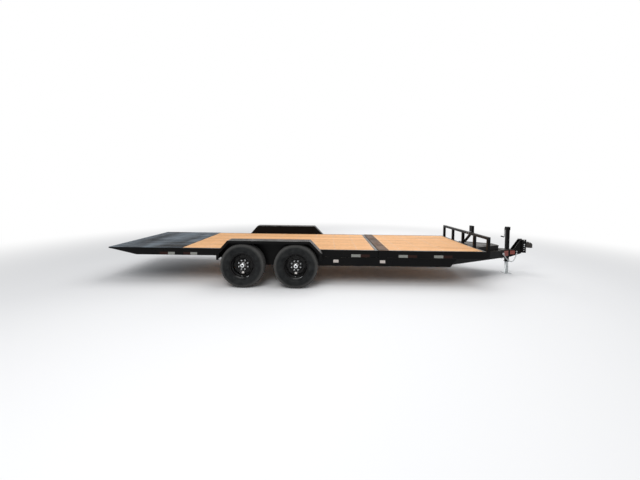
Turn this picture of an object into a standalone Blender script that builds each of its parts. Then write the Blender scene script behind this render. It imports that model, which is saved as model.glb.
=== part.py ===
"""Tandem-axle gravity-tilt equipment trailer, standing on its wheels and its drop-leg jack.

Metres, +Z up. +X points to the coupler, +Y to the trailer's left. The origin is on the ground,
midway between the tail's edge and the coupler's nose.
"""
import math

import bmesh
import bpy
from mathutils import Matrix, Vector

# Clearances
SEAT = 0.0003            # welded or bolted faces that meet
SWING = 0.005            # between pieces that pass each other
INSET = 0.001            # a welded piece stands back this far from its neighbour's face

# Decks, with X counted from the tail's edge
DECK_LENGTH = 6.835      # about 22 ft, tilting deck and fixed deck together
TILT_LENGTH = 4.880
JOINT_GAP = 0.008
DECK_HALF = 1.035        # to the outer face of the side rails
DECK_Z = 0.640           # top of the rails and of the boards
DECK_RAIL_H = 0.127      # 5 in channel
BOARD_T = 0.038
BOARD_COUNT = 11
GROOVE = (0.004, 0.009)  # width and depth between two boards
PLATE_T = 0.005
TAIL_PLATE_LENGTH = 1.320
KNIFE_LENGTH = 0.500
KNIFE_TIP_T = 0.014
RIB_T = 0.010
RIB_COUNT = 7
STRIP_LENGTH = 0.190     # chequer strip on the fixed deck's rear edge

# Channel sections: flange width, web thickness, flange thickness
SECTION = (0.048, 0.006, 0.009)
CROSS_SECTION = (0.036, 0.005, 0.007)
CROSS_H = 0.076
CROSS_PITCH = 0.406

# Main frame under the decks
MAIN_H = 0.152           # 6 in channel
MAIN_TOP = DECK_Z - DECK_RAIL_H - SWING
MAIN_BOTTOM = MAIN_TOP - MAIN_H
MAIN_REAR = 2.580
MAIN_FRONT = 6.280
END_CUT = 0.100          # the main rail's front end is cut back this far at its foot
PAD_LENGTH = 0.100

# Tilt pivot
PIVOT = (2.762, 0.440)   # X, Z
SHAFT_R = 0.019
SHAFT_CLEARANCE = 0.001
TILT_DEG = 13.0
EAR_T = 0.020
EAR_Y = DECK_HALF - 0.175

# Wheels and torsion axles
TYRE_R = 0.385
REAR_AXLE = 2.490
FRONT_AXLE = REAR_AXLE + 2 * TYRE_R + 0.160
AXLES = (("rear", REAR_AXLE), ("front", FRONT_AXLE))
TYRE_HALF_W = 0.1175
WHEEL_Y = DECK_HALF + 0.025 + TYRE_HALF_W    # to the wheel's centre plane
BEAD_R = 0.2035
RIM_HALF_W = 0.090
DISC_T = 0.008
DRUM_R = 0.160
SPINDLE_R = 0.0245
HUB_BORE_R = 0.0260
LUG_COUNT = 8
LUG_CIRCLE_R = 0.0825    # 6.5 in bolt circle
ARM_LENGTH = 0.180
AXLE_TUBE = 0.089
WHEEL_STEPS = 36         # the same for tyre and rim, so their facets nest
HUB_STEPS = 24

# Drive-over fenders
FENDER_T = 0.005
FENDER_OUT = WHEEL_Y + TYRE_HALF_W
FENDER_TOP = 2 * TYRE_R + 0.055
FENDER_LIP = 0.045
FENDER_FOOT = 0.490
FENDER_X = (             # rear foot, rear knee, front knee, front foot
    REAR_AXLE - TYRE_R - 0.055, REAR_AXLE - TYRE_R + 0.135,
    FRONT_AXLE + TYRE_R - 0.140, FRONT_AXLE + TYRE_R + 0.070,
)
FENDER_SHOULDER = FENDER_TOP - 0.215

# Tongue
TONGUE_DEG = 27.4
TONGUE_HALF_AT_DECK = 0.565
NOSE = (7.675, 8.065)
NOSE_TAPER = (7.820, 0.438)  # where its underside starts to rise, and its height at the front
NOSE_HALF = 0.060
COUPLER_CHANNEL_Z = (0.452, 0.730)
COUPLER_CHANNEL_HALF = 0.076
COUPLER_CHANNEL_DEPTH = 0.090
COUPLER_Z = 0.605        # middle of the coupler's shank
BALL_REACH = 0.200       # nose face to the ball's centre
BALL_R = 0.0298
CUP_R = 0.060

# Safety chains: tab on the tongue rail and hook by the nose
CHAIN_X = (7.635, 7.965)

# Drop-leg jack
JACK_X = 7.800
JACK_TUBE = 0.064
JACK_WALL = 0.005
JACK_FOOT_Z = 0.250      # lower end of the outer tube
JACK_TOP_Z = 0.990
LEG_TOP_Z = 0.640
FOOT_HALF = 0.075
FOOT_T = 0.010

# Headboard and spare-wheel carrier
POST = 0.050
POST_COUNT = 5
HEADBOARD_TOP = 0.905
POST_FOOT = 0.525
CARRIER_Y = -0.270
CARRIER_TOP = 1.032
CARRIER_HALF = 0.055
CARRIER_T = 0.050

# Tongue toolbox
BOX_X = (6.955, 7.555)
BOX_HALF = (0.420, 0.110)  # at its rear and front
BOX_FLOOR = 0.365
BOX_TOP = 0.610
BOX_WALL = 0.003
LID_T = 0.003
LID_SKIRT = 0.025
LID_HINGE_R = 0.007

# Cushion cylinder: pins at rest, X and Z
CYL_BASE = (3.400, 0.400)
CYL_EYE = (4.130, 0.468)
CYL_R = 0.028
CYL_LENGTH = 0.600
ROD_R = 0.0145
ROD_INSIDE = 0.320
PIN_R = 0.0125
EYE_W = 0.030

COUPLER_NOSE = NOSE[1] + BALL_REACH + CUP_R
ORIGIN_X = COUPLER_NOSE / 2


def from_tail(x):
    """A distance forward of the tail's edge as a model X."""
    return x - ORIGIN_X


def clear_scene():
    for obj in list(bpy.data.objects):
        bpy.data.objects.remove(obj)


def collection(name):
    made = bpy.data.collections.new(name)
    bpy.context.scene.collection.children.link(made)
    return made


def material(name, colour, roughness, metallic=0.0):
    made = bpy.data.materials.new(name)
    made.use_nodes = True
    shader = made.node_tree.nodes["Principled BSDF"]
    shader.inputs["Base Color"].default_value = (*colour, 1.0)
    shader.inputs["Roughness"].default_value = roughness
    shader.inputs["Metallic"].default_value = metallic
    return made


clear_scene()
PARTS = collection("tilt_trailer")
BLACK = material("black_enamel", (0.012, 0.012, 0.013), 0.35)
CHEQUER = material("chequer_plate", (0.045, 0.050, 0.058), 0.45)
WOOD = material("treated_pine", (0.80, 0.52, 0.27), 0.75)
RUBBER = material("tyre_rubber", (0.020, 0.020, 0.021), 0.85)
WHEEL_BLACK = material("wheel_paint", (0.008, 0.008, 0.009), 0.25)
ZINC = material("zinc_plate", (0.62, 0.63, 0.64), 0.35, 1.0)
CAST = material("cast_steel", (0.020, 0.020, 0.022), 0.55)
LENS = material("red_lens", (0.45, 0.01, 0.01), 0.2)


def named(obj, name, finish):
    """Gives a finished piece its node name, its material and its collection."""
    obj.name = name
    obj.data.name = name
    obj.data.materials.clear()
    obj.data.materials.append(finish)
    for holder in list(obj.users_collection):
        holder.objects.unlink(obj)
    PARTS.objects.link(obj)
    return obj


def mesh_object(name, mesh, matrix=None):
    obj = bpy.data.objects.new(name, mesh)
    PARTS.objects.link(obj)
    if matrix is not None:
        obj.matrix_world = matrix
    bpy.context.view_layer.update()
    return obj


def evaluated_mesh(obj):
    """The object's mesh with its modifiers applied, its seams welded and its faces pointing out."""
    graph = bpy.context.evaluated_depsgraph_get()
    mesh = bpy.data.meshes.new_from_object(obj.evaluated_get(graph))
    shape = bmesh.new()
    shape.from_mesh(mesh)
    bmesh.ops.remove_doubles(shape, verts=shape.verts, dist=0.00002)
    bmesh.ops.recalc_face_normals(shape, faces=shape.faces)
    if shape.calc_volume(signed=True) < 0:
        bmesh.ops.reverse_faces(shape, faces=shape.faces)
    shape.to_mesh(mesh)
    shape.free()
    return mesh


def as_mesh(obj):
    """Replaces a curve, or an object with modifiers, by the mesh it makes."""
    mesh = evaluated_mesh(obj)
    matrix = obj.matrix_world.copy()
    name = obj.name
    bpy.data.objects.remove(obj)
    return mesh_object(name, mesh, matrix)


def smooth(obj, degrees=35):
    obj.data.shade_smooth()
    obj.data.set_sharp_from_angle(angle=math.radians(degrees))
    return obj


def block(low, high):
    """A box between two corners."""
    low, high = Vector(low), Vector(high)
    mesh = bpy.data.meshes.new("block")
    shape = bmesh.new()
    bmesh.ops.create_cube(shape, size=1.0)
    bmesh.ops.scale(shape, verts=shape.verts, vec=high - low)
    shape.to_mesh(mesh)
    shape.free()
    return mesh_object("block", mesh, Matrix.Translation((low + high) / 2))


AXIS_TURN = {
    "x": Matrix(((0, 0, 1), (1, 0, 0), (0, 1, 0))).to_4x4(),   # outline in Y, Z
    "y": Matrix(((1, 0, 0), (0, 0, -1), (0, 1, 0))).to_4x4(),  # outline in X, Z
    "z": Matrix.Identity(4),                                    # outline in X, Y
}


def ring(centre, radius, steps=24):
    """The corners of a round outline or hole."""
    return [
        (centre[0] + radius * math.cos(2 * math.pi * i / steps),
         centre[1] + radius * math.sin(2 * math.pi * i / steps))
        for i in range(steps)
    ]


def prism(outline, axis, low, high, holes=()):
    """A flat outline, with holes, carried along an axis from low to high."""
    curve = bpy.data.curves.new("outline", "CURVE")
    curve.dimensions = "2D"
    curve.fill_mode = "BOTH"
    curve.extrude = (high - low) / 2
    for corners in (outline, *holes):
        spline = curve.splines.new("POLY")
        spline.points.add(len(corners) - 1)
        for point, corner in zip(spline.points, corners):
            point.co = (*corner, 0, 1)
        spline.use_cyclic_u = True
    obj = bpy.data.objects.new("prism", curve)
    PARTS.objects.link(obj)
    middle = (low + high) / 2
    shift = {"x": (middle, 0, 0), "y": (0, middle, 0), "z": (0, 0, middle)}[axis]
    obj.matrix_world = Matrix.Translation(shift) @ AXIS_TURN[axis]
    bpy.context.view_layer.update()
    return as_mesh(obj)


def rod(start, end, radius, steps=24):
    """A round bar between two points."""
    start, end = Vector(start), Vector(end)
    mesh = bpy.data.meshes.new("rod")
    shape = bmesh.new()
    bmesh.ops.create_cone(
        shape, cap_ends=True, segments=steps, radius1=radius, radius2=radius,
        depth=(end - start).length,
    )
    shape.to_mesh(mesh)
    shape.free()
    turn = (end - start).to_track_quat("Z", "Y").to_matrix().to_4x4()
    return mesh_object("rod", mesh, Matrix.Translation((start + end) / 2) @ turn)


def turned(profile, centre, outward, steps):
    """A closed (radius, width) profile turned round a Y axis; outward is the side that +width faces."""
    mesh = bpy.data.meshes.new("profile")
    shape = bmesh.new()
    corners = [shape.verts.new((r, 0, w)) for r, w in profile]
    for first, second in zip(corners, corners[1:] + corners[:1]):
        if max(first.co.x, second.co.x) > 0:
            shape.edges.new((first, second))
    shape.to_mesh(mesh)
    shape.free()
    turn = Matrix.Rotation(math.radians(-90 * outward), 4, "X")
    obj = mesh_object("turned", mesh, Matrix.Translation(centre) @ turn)
    screw = obj.modifiers.new("turn", "SCREW")
    screw.axis = "Z"
    screw.steps = steps
    screw.render_steps = steps
    screw.use_merge_vertices = True
    screw.merge_threshold = 0.00005
    return as_mesh(obj)


def bent_tube(points, radius, sides=2):
    """A round wire or chain line through points."""
    curve = bpy.data.curves.new("wire", "CURVE")
    curve.dimensions = "3D"
    curve.bevel_depth = radius
    curve.bevel_resolution = sides
    curve.use_fill_caps = True
    spline = curve.splines.new("POLY")
    spline.points.add(len(points) - 1)
    for point, place in zip(spline.points, points):
        point.co = (*place, 1)
    obj = bpy.data.objects.new("wire", curve)
    PARTS.objects.link(obj)
    bpy.context.view_layer.update()
    return as_mesh(obj)


def boolean(target, other, operation):
    change = target.modifiers.new(operation.lower(), "BOOLEAN")
    change.operation = operation
    change.solver = "EXACT"
    change.object = other
    bpy.context.view_layer.update()
    made = as_mesh(target)
    bpy.data.objects.remove(other)
    return made


def joined(first, *others):
    for other in others:
        first = boolean(first, other, "UNION")
    return first


def cut(target, *cutters):
    for cutter in cutters:
        target = boolean(target, cutter, "DIFFERENCE")
    return target


def channel_outline(web, toward, z, height, section):
    """A C section: its web's outer face at web, its flanges pointing toward +1 or -1."""
    flange, web_t, flange_t = section
    far, near = web + toward * flange, web + toward * web_t
    return [
        (web, z), (far, z), (far, z + flange_t), (near, z + flange_t),
        (near, z + height - flange_t), (far, z + height - flange_t), (far, z + height), (web, z + height),
    ]


def channel_x(x, web_y, toward, z, height, section=SECTION):
    """A channel running forward between two distances from the tail."""
    return prism(channel_outline(web_y, toward, z, height, section), "x", from_tail(x[0]), from_tail(x[1]))


def channel_y(half, web_x, toward, z, height, section=SECTION):
    """A channel running across the trailer, its web at a distance from the tail."""
    outline = channel_outline(from_tail(web_x), toward, z, height, section)
    return prism(outline, "y", -half, half)


def spread(first, last, pitch):
    """Evenly spaced places strictly between two ends, about a pitch apart."""
    bays = max(1, round((last - first) / pitch))
    return [first + (last - first) * i / bays for i in range(1, bays)]


SIDES = (("left", 1), ("right", -1))
INSIDE = DECK_HALF - SECTION[1] + 0.001        # cross pieces sink this far into the rail's web
CROSS_TOP = DECK_Z - BOARD_T - SEAT
BOARD_HALF = DECK_HALF - SECTION[0] - 0.003


def boards(name, x0, x1):
    """A floor of planks laid lengthways, parted by grooves."""
    pitch = 2 * BOARD_HALF / BOARD_COUNT
    low, top = DECK_Z - BOARD_T, DECK_Z
    outline = [(-BOARD_HALF, low), (BOARD_HALF, low), (BOARD_HALF, top)]
    for i in range(1, BOARD_COUNT):
        seam = BOARD_HALF - i * pitch
        right, left = seam + GROOVE[0] / 2, seam - GROOVE[0] / 2
        outline += [(right, top), (right, top - GROOVE[1]), (left, top - GROOVE[1]), (left, top)]
    outline.append((-BOARD_HALF, top))
    named(prism(outline, "x", from_tail(x0), from_tail(x1)), name, WOOD)


def tilt_deck():
    """The tilting deck's welded frame with its knife-edge tail, then its plate and its boards."""
    low = DECK_Z - DECK_RAIL_H
    pieces = [
        channel_x((KNIFE_LENGTH, TILT_LENGTH), sign * DECK_HALF, -sign, low, DECK_RAIL_H)
        for _, sign in SIDES
    ]
    end_low, end_h = low + INSET, DECK_RAIL_H - 2 * INSET
    pieces.append(channel_y(INSIDE, KNIFE_LENGTH + INSET, 1, end_low, end_h))
    pieces.append(channel_y(INSIDE, TILT_LENGTH - INSET, -1, end_low, end_h))
    pieces.append(channel_y(INSIDE, TAIL_PLATE_LENGTH, -1, end_low, end_h))
    for x in spread(KNIFE_LENGTH, TAIL_PLATE_LENGTH, CROSS_PITCH):
        pieces.append(channel_y(INSIDE, x, 1, DECK_Z - CROSS_H, CROSS_H, CROSS_SECTION))
    pivot_half = 0.050
    for x in spread(TAIL_PLATE_LENGTH, TILT_LENGTH, CROSS_PITCH):
        if abs(x - PIVOT[0]) > pivot_half + CROSS_SECTION[0]:
            pieces.append(channel_y(INSIDE, x, 1, CROSS_TOP - CROSS_H, CROSS_H, CROSS_SECTION))
    x = from_tail(PIVOT[0])
    pieces.append(block((x - pivot_half, -INSIDE, CROSS_TOP - CROSS_H), (x + pivot_half, INSIDE, CROSS_TOP)))
    rib = [
        (from_tail(0.002), DECK_Z - INSET / 2), (from_tail(0.002), DECK_Z - KNIFE_TIP_T),
        (from_tail(KNIFE_LENGTH + 0.004), low + INSET / 2), (from_tail(KNIFE_LENGTH + 0.004), DECK_Z - INSET / 2),
    ]
    rib_half = DECK_HALF - INSET
    for i in range(RIB_COUNT):
        y = -rib_half + i * (2 * rib_half - RIB_T) / (RIB_COUNT - 1)
        pieces.append(prism(rib, "y", y, y + RIB_T))
    edge = 0.060
    slope = (DECK_RAIL_H - KNIFE_TIP_T) / KNIFE_LENGTH
    bar = [
        (from_tail(0), DECK_Z), (from_tail(0), DECK_Z - KNIFE_TIP_T - INSET),
        (from_tail(edge), DECK_Z - KNIFE_TIP_T - INSET - slope * edge), (from_tail(edge), DECK_Z),
    ]
    pieces.append(prism(bar, "y", -DECK_HALF, DECK_HALF))
    named(joined(*pieces), "tilt_deck_frame", BLACK)
    plate = block(
        (from_tail(0), -DECK_HALF, DECK_Z + SEAT),
        (from_tail(TAIL_PLATE_LENGTH), DECK_HALF, DECK_Z + SEAT + PLATE_T),
    )
    named(plate, "tail_chequer_plate", CHEQUER)
    boards("tilt_deck_boards", TAIL_PLATE_LENGTH + 0.003, TILT_LENGTH - SECTION[0] - 0.003)


def pivot():
    """The cross shaft held by the main rails, and the deck's two ears that turn on it."""
    x, z = from_tail(PIVOT[0]), PIVOT[1]
    reach = MAIN_HALF - SECTION[1] - SEAT
    named(smooth(rod((x, -reach, z), (x, reach, z), SHAFT_R)), "pivot_shaft", ZINC)
    top = CROSS_TOP - CROSS_H - SEAT
    half, round_r = 0.048, 0.036
    arc = [
        (x + round_r * math.cos(math.radians(a)), z + round_r * math.sin(math.radians(a)))
        for a in range(180, 361, 20)
    ]
    outline = [(x - half, top), *arc, (x + half, top)]
    hole = ring((x, z), SHAFT_R + SHAFT_CLEARANCE)
    for side, sign in SIDES:
        y = sorted((sign * EAR_Y, sign * (EAR_Y + EAR_T)))
        named(prism(outline, "y", y[0], y[1], [hole]), f"pivot_ear_{side}", BLACK)


def fixed_deck():
    """The deck section ahead of the joint, which stays level."""
    rear = TILT_LENGTH + JOINT_GAP
    low = MAIN_TOP + SEAT
    height = DECK_Z - low
    pieces = [channel_x((rear, DECK_LENGTH), sign * DECK_HALF, -sign, low, height) for _, sign in SIDES]
    pieces.append(channel_y(INSIDE, rear + INSET, 1, low + INSET, height - 2 * INSET))
    pieces.append(channel_y(INSIDE, DECK_LENGTH - INSET, -1, low + INSET, height - 2 * INSET))
    boards_start = rear + STRIP_LENGTH
    pieces.append(channel_y(INSIDE, boards_start, -1, DECK_Z - CROSS_H, CROSS_H, CROSS_SECTION))
    for x in spread(boards_start - CROSS_PITCH / 2, DECK_LENGTH, CROSS_PITCH):
        pieces.append(channel_y(INSIDE, x, 1, CROSS_TOP - CROSS_H, CROSS_H, CROSS_SECTION))
    named(joined(*pieces), "fixed_deck_frame", BLACK)
    boards("fixed_deck_boards", boards_start + 0.003, DECK_LENGTH - SECTION[0] - 0.003)
    strip = block(
        (from_tail(rear), -DECK_HALF, DECK_Z + SEAT),
        (from_tail(rear + STRIP_LENGTH), DECK_HALF, DECK_Z + SEAT + PLATE_T),
    )
    named(strip, "joint_strip", CHEQUER)


MAIN_HALF = DECK_HALF + SWING + 0.0007         # main rails stand out to meet the fender's back plate
MAIN_SEAT = MAIN_HALF - SECTION[1] - SEAT      # cross pieces reach the rail's web


def main_frame():
    """Two 6 in rails, tapered over their rear end so the tilting deck can come down on them."""
    taper_start = PIVOT[0] + 0.040
    taper_end = MAIN_REAR - 0.050
    tail_drop = (taper_start - taper_end) * math.tan(math.radians(TILT_DEG)) + SWING
    cut_back = END_CUT / (MAIN_H - 0.020) * 0.050
    pad_x = TILT_LENGTH - 0.200
    for side, sign in SIDES:
        rail = channel_x((MAIN_REAR, MAIN_FRONT), sign * MAIN_HALF, -sign, MAIN_BOTTOM, MAIN_H)
        wedge = [
            (from_tail(taper_end), MAIN_TOP + 0.050), (from_tail(taper_end), MAIN_TOP - tail_drop),
            (from_tail(taper_start), MAIN_TOP), (from_tail(taper_start), MAIN_TOP + 0.050),
        ]
        end = [
            (from_tail(MAIN_FRONT + cut_back), MAIN_BOTTOM - 0.050),
            (from_tail(MAIN_FRONT + cut_back), MAIN_TOP + 0.030),
            (from_tail(MAIN_FRONT - END_CUT - cut_back), MAIN_BOTTOM - 0.050),
        ]
        rail = cut(rail, prism(wedge, "y", -2, 2), prism(end, "y", -2, 2))
        pad_y = sorted((sign * (DECK_HALF - 0.040), sign * DECK_HALF))
        pad = block(
            (from_tail(pad_x), pad_y[0], MAIN_TOP - 0.002),
            (from_tail(pad_x + PAD_LENGTH), pad_y[1], MAIN_TOP + SWING - SEAT),
        )
        named(joined(rail, pad), f"main_rail_{side}", BLACK)
    low = MAIN_BOTTOM + SECTION[2] + SEAT
    height = MAIN_H - 2 * SECTION[2] - 2 * SEAT
    places = (("rear", 3.080, 1), ("middle", CYL_BASE[0] - 0.060, -1), ("joint", 4.840, 1), ("front", 5.800, 1))
    for place, x, toward in places:
        member = channel_y(MAIN_SEAT, x, toward, low, height, CROSS_SECTION)
        if place == "middle":
            member = joined(member, *cylinder_bracket())
        named(member, f"main_crossmember_{place}", BLACK)


def cylinder_bracket():
    """Two cheeks and the pin that the cushion cylinder's base turns on."""
    x, z = from_tail(CYL_BASE[0]), CYL_BASE[1]
    cheek = [
        (x - 0.062, z - 0.035), (x, z - 0.030), (x + 0.022, z - 0.018),
        (x + 0.022, z + 0.018), (x, z + 0.030), (x - 0.062, z + 0.035),
    ]
    inner, outer = EYE_W / 2 + 0.002, EYE_W / 2 + 0.010
    pieces = [prism(cheek, "y", *sorted((sign * inner, sign * outer))) for _, sign in SIDES]
    pieces.append(rod((x, -outer - 0.004, z), (x, outer + 0.004, z), PIN_R))
    return pieces


def tongue():
    """The A-frame: two converging rails, the nose block they meet on, and its gusset plate."""
    angle = math.radians(TONGUE_DEG)
    apex_x = DECK_LENGTH + (TONGUE_HALF_AT_DECK - NOSE_HALF) / math.tan(angle)
    length = 2.6
    for side, sign in SIDES:
        outline = channel_outline(0, -sign, MAIN_BOTTOM, MAIN_H, SECTION)
        rail = prism(outline, "x", -length, 0.10)
        place = Matrix.Translation((from_tail(apex_x), sign * NOSE_HALF, 0))
        rail.matrix_world = place @ Matrix.Rotation(-sign * angle, 4, "Z") @ rail.matrix_world
        inner_edge = MAIN_HALF - SECTION[0] - SEAT
        outside = block((from_tail(3), min(sign * inner_edge, sign * 3), 0),
                        (from_tail(9), max(sign * inner_edge, sign * 3), 1))
        middle = block((from_tail(3), min(-sign * 3, sign * (NOSE_HALF + SEAT)), 0),
                       (from_tail(9), max(-sign * 3, sign * (NOSE_HALF + SEAT)), 1))
        behind = block((from_tail(3), -3, 0), (from_tail(5.800 + CROSS_SECTION[0] + SEAT), 3, 1))
        bpy.context.view_layer.update()
        named(cut(rail, outside, middle, behind), f"tongue_rail_{side}", BLACK)
    jack = JACK_TUBE / 2 + SEAT
    x = from_tail(JACK_X)
    hole = [(x - jack, -jack), (x + jack, -jack), (x + jack, jack), (x - jack, jack)]
    nose = [
        (from_tail(NOSE[0]), -NOSE_HALF), (from_tail(NOSE[1]), -NOSE_HALF),
        (from_tail(NOSE[1]), NOSE_HALF), (from_tail(NOSE[0]), NOSE_HALF),
    ]
    clip_half = tongue_inner_half(NOSE[0])
    nose[0] = (nose[0][0], -min(NOSE_HALF, clip_half))
    nose[3] = (nose[3][0], min(NOSE_HALF, clip_half))
    taper_x, taper_z = NOSE_TAPER
    under = prism(
        [(from_tail(taper_x), MAIN_BOTTOM - 0.010), (from_tail(taper_x), MAIN_BOTTOM - INSET),
         (from_tail(NOSE[1]) + 0.010, taper_z), (from_tail(NOSE[1]) + 0.010, MAIN_BOTTOM - 0.010)],
        "y", -3 * NOSE_HALF, 3 * NOSE_HALF,
    )
    named(cut(prism(nose, "z", MAIN_BOTTOM, MAIN_TOP, [hole]), under), "tongue_nose", BLACK)
    rear_x = BOX_X[1] + 0.045
    rear_half = tongue_half(rear_x)
    plate = [
        (from_tail(rear_x), -rear_half), (from_tail(apex_x), -NOSE_HALF), (from_tail(NOSE[1] - 0.175), -NOSE_HALF),
        (from_tail(NOSE[1] - 0.175), NOSE_HALF), (from_tail(apex_x), NOSE_HALF), (from_tail(rear_x), rear_half),
    ]
    low = MAIN_TOP + SEAT
    named(prism(plate, "z", low, low + 0.008, [hole]), "tongue_gusset", BLACK)


def tongue_half(x):
    """Half the A-frame's width over its outer faces, at a distance from the tail."""
    return TONGUE_HALF_AT_DECK - math.tan(math.radians(TONGUE_DEG)) * (x - DECK_LENGTH)


def tongue_inner_half(x):
    """The same between the rails' flange edges, less a seat's clearance."""
    return tongue_half(x) - SECTION[0] / math.cos(math.radians(TONGUE_DEG)) - SEAT


def coupler():
    """The height-adjusting channel with its two gussets, and the ball coupler bolted into it."""
    face = from_tail(NOSE[1]) + SEAT
    web = 0.010
    back, front = face, face + COUPLER_CHANNEL_DEPTH
    half = COUPLER_CHANNEL_HALF
    outline = [
        (back, -half), (front, -half), (front, -half + 0.008), (back + web, -half + 0.008),
        (back + web, half - 0.008), (front, half - 0.008), (front, half), (back, half),
    ]
    post = prism(outline, "z", *COUPLER_CHANNEL_Z)
    low = MAIN_TOP + SEAT
    gusset = [
        (face - 0.165, low), (face + 0.003, low), (face + 0.003, COUPLER_CHANNEL_Z[1] - 0.015),
        (face - 0.020, COUPLER_CHANNEL_Z[1] - 0.015),
    ]
    gussets = [prism(gusset, "y", *sorted((sign * 0.046, sign * 0.054))) for _, sign in SIDES]
    named(joined(post, *gussets), "coupler_channel", BLACK)

    ball_x = from_tail(NOSE[1] + BALL_REACH)
    shank_back = back + web + SEAT
    shank_half = half - 0.008 - 0.002
    z = COUPLER_Z
    shank = prism(
        [(shank_back, -shank_half), (ball_x - 0.060, -shank_half), (ball_x, -0.050), (ball_x, 0.050),
         (ball_x - 0.060, shank_half), (shank_back, shank_half)],
        "z", z - 0.040, z + 0.040,
    )
    cup = rod((ball_x, 0, z - 0.052), (ball_x, 0, z + 0.030), CUP_R, 28)
    crown = rod((ball_x, 0, z + 0.029), (ball_x, 0, z + 0.046), CUP_R * 0.78, 28)
    latch = block((ball_x - 0.105, -0.016, z + 0.038), (ball_x - 0.020, 0.016, z + 0.072))
    body = joined(shank, cup, crown, latch)
    socket = rod((ball_x, 0, z - 0.060), (ball_x, 0, z + 0.004), BALL_R, 24)
    named(smooth(cut(body, socket)), "ball_coupler", CAST)


def jack():
    """The drop-leg jack: outer tube with its gearbox head, crank, and the leg that slides in it."""
    x = from_tail(JACK_X)
    half = JACK_TUBE / 2
    inner = half - JACK_WALL
    square = [(x - half, -half), (x + half, -half), (x + half, half), (x - half, half)]
    hollow = [(x - inner, -inner), (x + inner, -inner), (x + inner, inner), (x - inner, inner)]
    tube = prism(square, "z", JACK_FOOT_Z, JACK_TOP_Z - 0.06, [hollow])
    head = block((x - half - 0.006, -half - 0.006, JACK_TOP_Z - 0.07), (x + half + 0.006, half + 0.006, JACK_TOP_Z))
    named(joined(tube, head), "jack_tube", BLACK)
    shaft_z = JACK_TOP_Z - 0.035
    side = half + 0.006 + SEAT
    crank = bent_tube(
        [(x, side, shaft_z), (x, side + 0.070, shaft_z), (x + 0.004, side + 0.074, shaft_z - 0.010),
         (x + 0.004, side + 0.074, shaft_z - 0.190), (x + 0.004, side + 0.080, shaft_z - 0.200),
         (x + 0.004, side + 0.200, shaft_z - 0.200)],
        0.008,
    )
    named(smooth(crank), "jack_crank", ZINC)
    leg_half = inner - SEAT
    leg = block((x - leg_half, -leg_half, FOOT_T / 2), (x + leg_half, leg_half, LEG_TOP_Z))
    foot = block((x - FOOT_HALF, -FOOT_HALF, 0), (x + FOOT_HALF, FOOT_HALF, FOOT_T))
    named(joined(leg, foot), "jack_leg", ZINC)


def headboard():
    """Five square posts under one rail, bolted to the fixed deck's front channel."""
    back = from_tail(DECK_LENGTH) + SEAT
    rail = block((back, -DECK_HALF, HEADBOARD_TOP - POST), (back + POST, DECK_HALF, HEADBOARD_TOP))
    pitch = (2 * DECK_HALF - POST) / (POST_COUNT - 1)
    posts = []
    for i in range(POST_COUNT):
        y = -DECK_HALF + i * pitch
        posts.append(block((back, y, POST_FOOT), (back + POST, y + POST, HEADBOARD_TOP - POST / 2)))
    named(joined(rail, *posts), "headboard", BLACK)
    front = back + POST + SEAT
    upright = block(
        (front, CARRIER_Y - CARRIER_HALF, HEADBOARD_TOP - POST - 0.010),
        (front + CARRIER_T, CARRIER_Y + CARRIER_HALF, CARRIER_TOP),
    )
    foot_y, foot_z = 0.0, DECK_Z + 0.030
    top_y, top_z = CARRIER_Y + 0.010, HEADBOARD_TOP - 0.030
    along = Vector((top_y - foot_y, top_z - foot_z)).normalized()
    wide = Vector((-along.y, along.x)) * 0.022
    brace = [
        (foot_y - wide.x, foot_z - wide.y), (foot_y + wide.x, foot_z + wide.y),
        (top_y + wide.x, top_z + wide.y), (top_y - wide.x, top_z - wide.y),
    ]
    arm = prism(brace, "x", front, front + CARRIER_T * 0.7)
    named(joined(upright, arm), "spare_carrier", BLACK)


def toolbox():
    """The V tub that hangs by its lip between the tongue rails, and its lid."""
    x0, x1 = from_tail(BOX_X[0]), from_tail(BOX_X[1])
    rear, front = BOX_HALF

    def trapezium(grow):
        return [(x0 - grow, -rear - grow), (x1 + grow, -front - grow), (x1 + grow, front + grow), (x0 - grow, rear + grow)]

    tub = prism(trapezium(0), "z", BOX_FLOOR, BOX_TOP)
    lip_z = MAIN_TOP + SEAT
    lip = prism(trapezium(0.030), "z", lip_z, lip_z + BOX_WALL)
    inside = prism(trapezium(-BOX_WALL), "z", BOX_FLOOR + BOX_WALL, BOX_TOP + 0.1)
    named(cut(joined(tub, lip), inside), "tongue_toolbox", BLACK)
    lid_z = BOX_TOP + SEAT
    skirt_gap = 0.002
    cover = prism(trapezium(skirt_gap + LID_T), "z", lid_z - LID_SKIRT, lid_z + LID_T)
    under = prism(trapezium(skirt_gap), "z", lid_z - LID_SKIRT - 0.1, lid_z)
    rear_skirt = block((x0 - 0.1, -1, lid_z - 0.2), (x0 + 0.001, 1, lid_z))
    lid = cut(cover, under, rear_skirt)
    hinge = (x0 - 0.0135, lid_z - 0.004)
    knuckle = rod((hinge[0], -rear + 0.05, hinge[1]), (hinge[0], rear - 0.05, hinge[1]), LID_HINGE_R, 16)
    leaf = block((hinge[0], -rear + 0.05, lid_z), (x0 + 0.01, rear - 0.05, lid_z + LID_T))
    named(joined(lid, leaf, knuckle), "toolbox_lid", BLACK)


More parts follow.
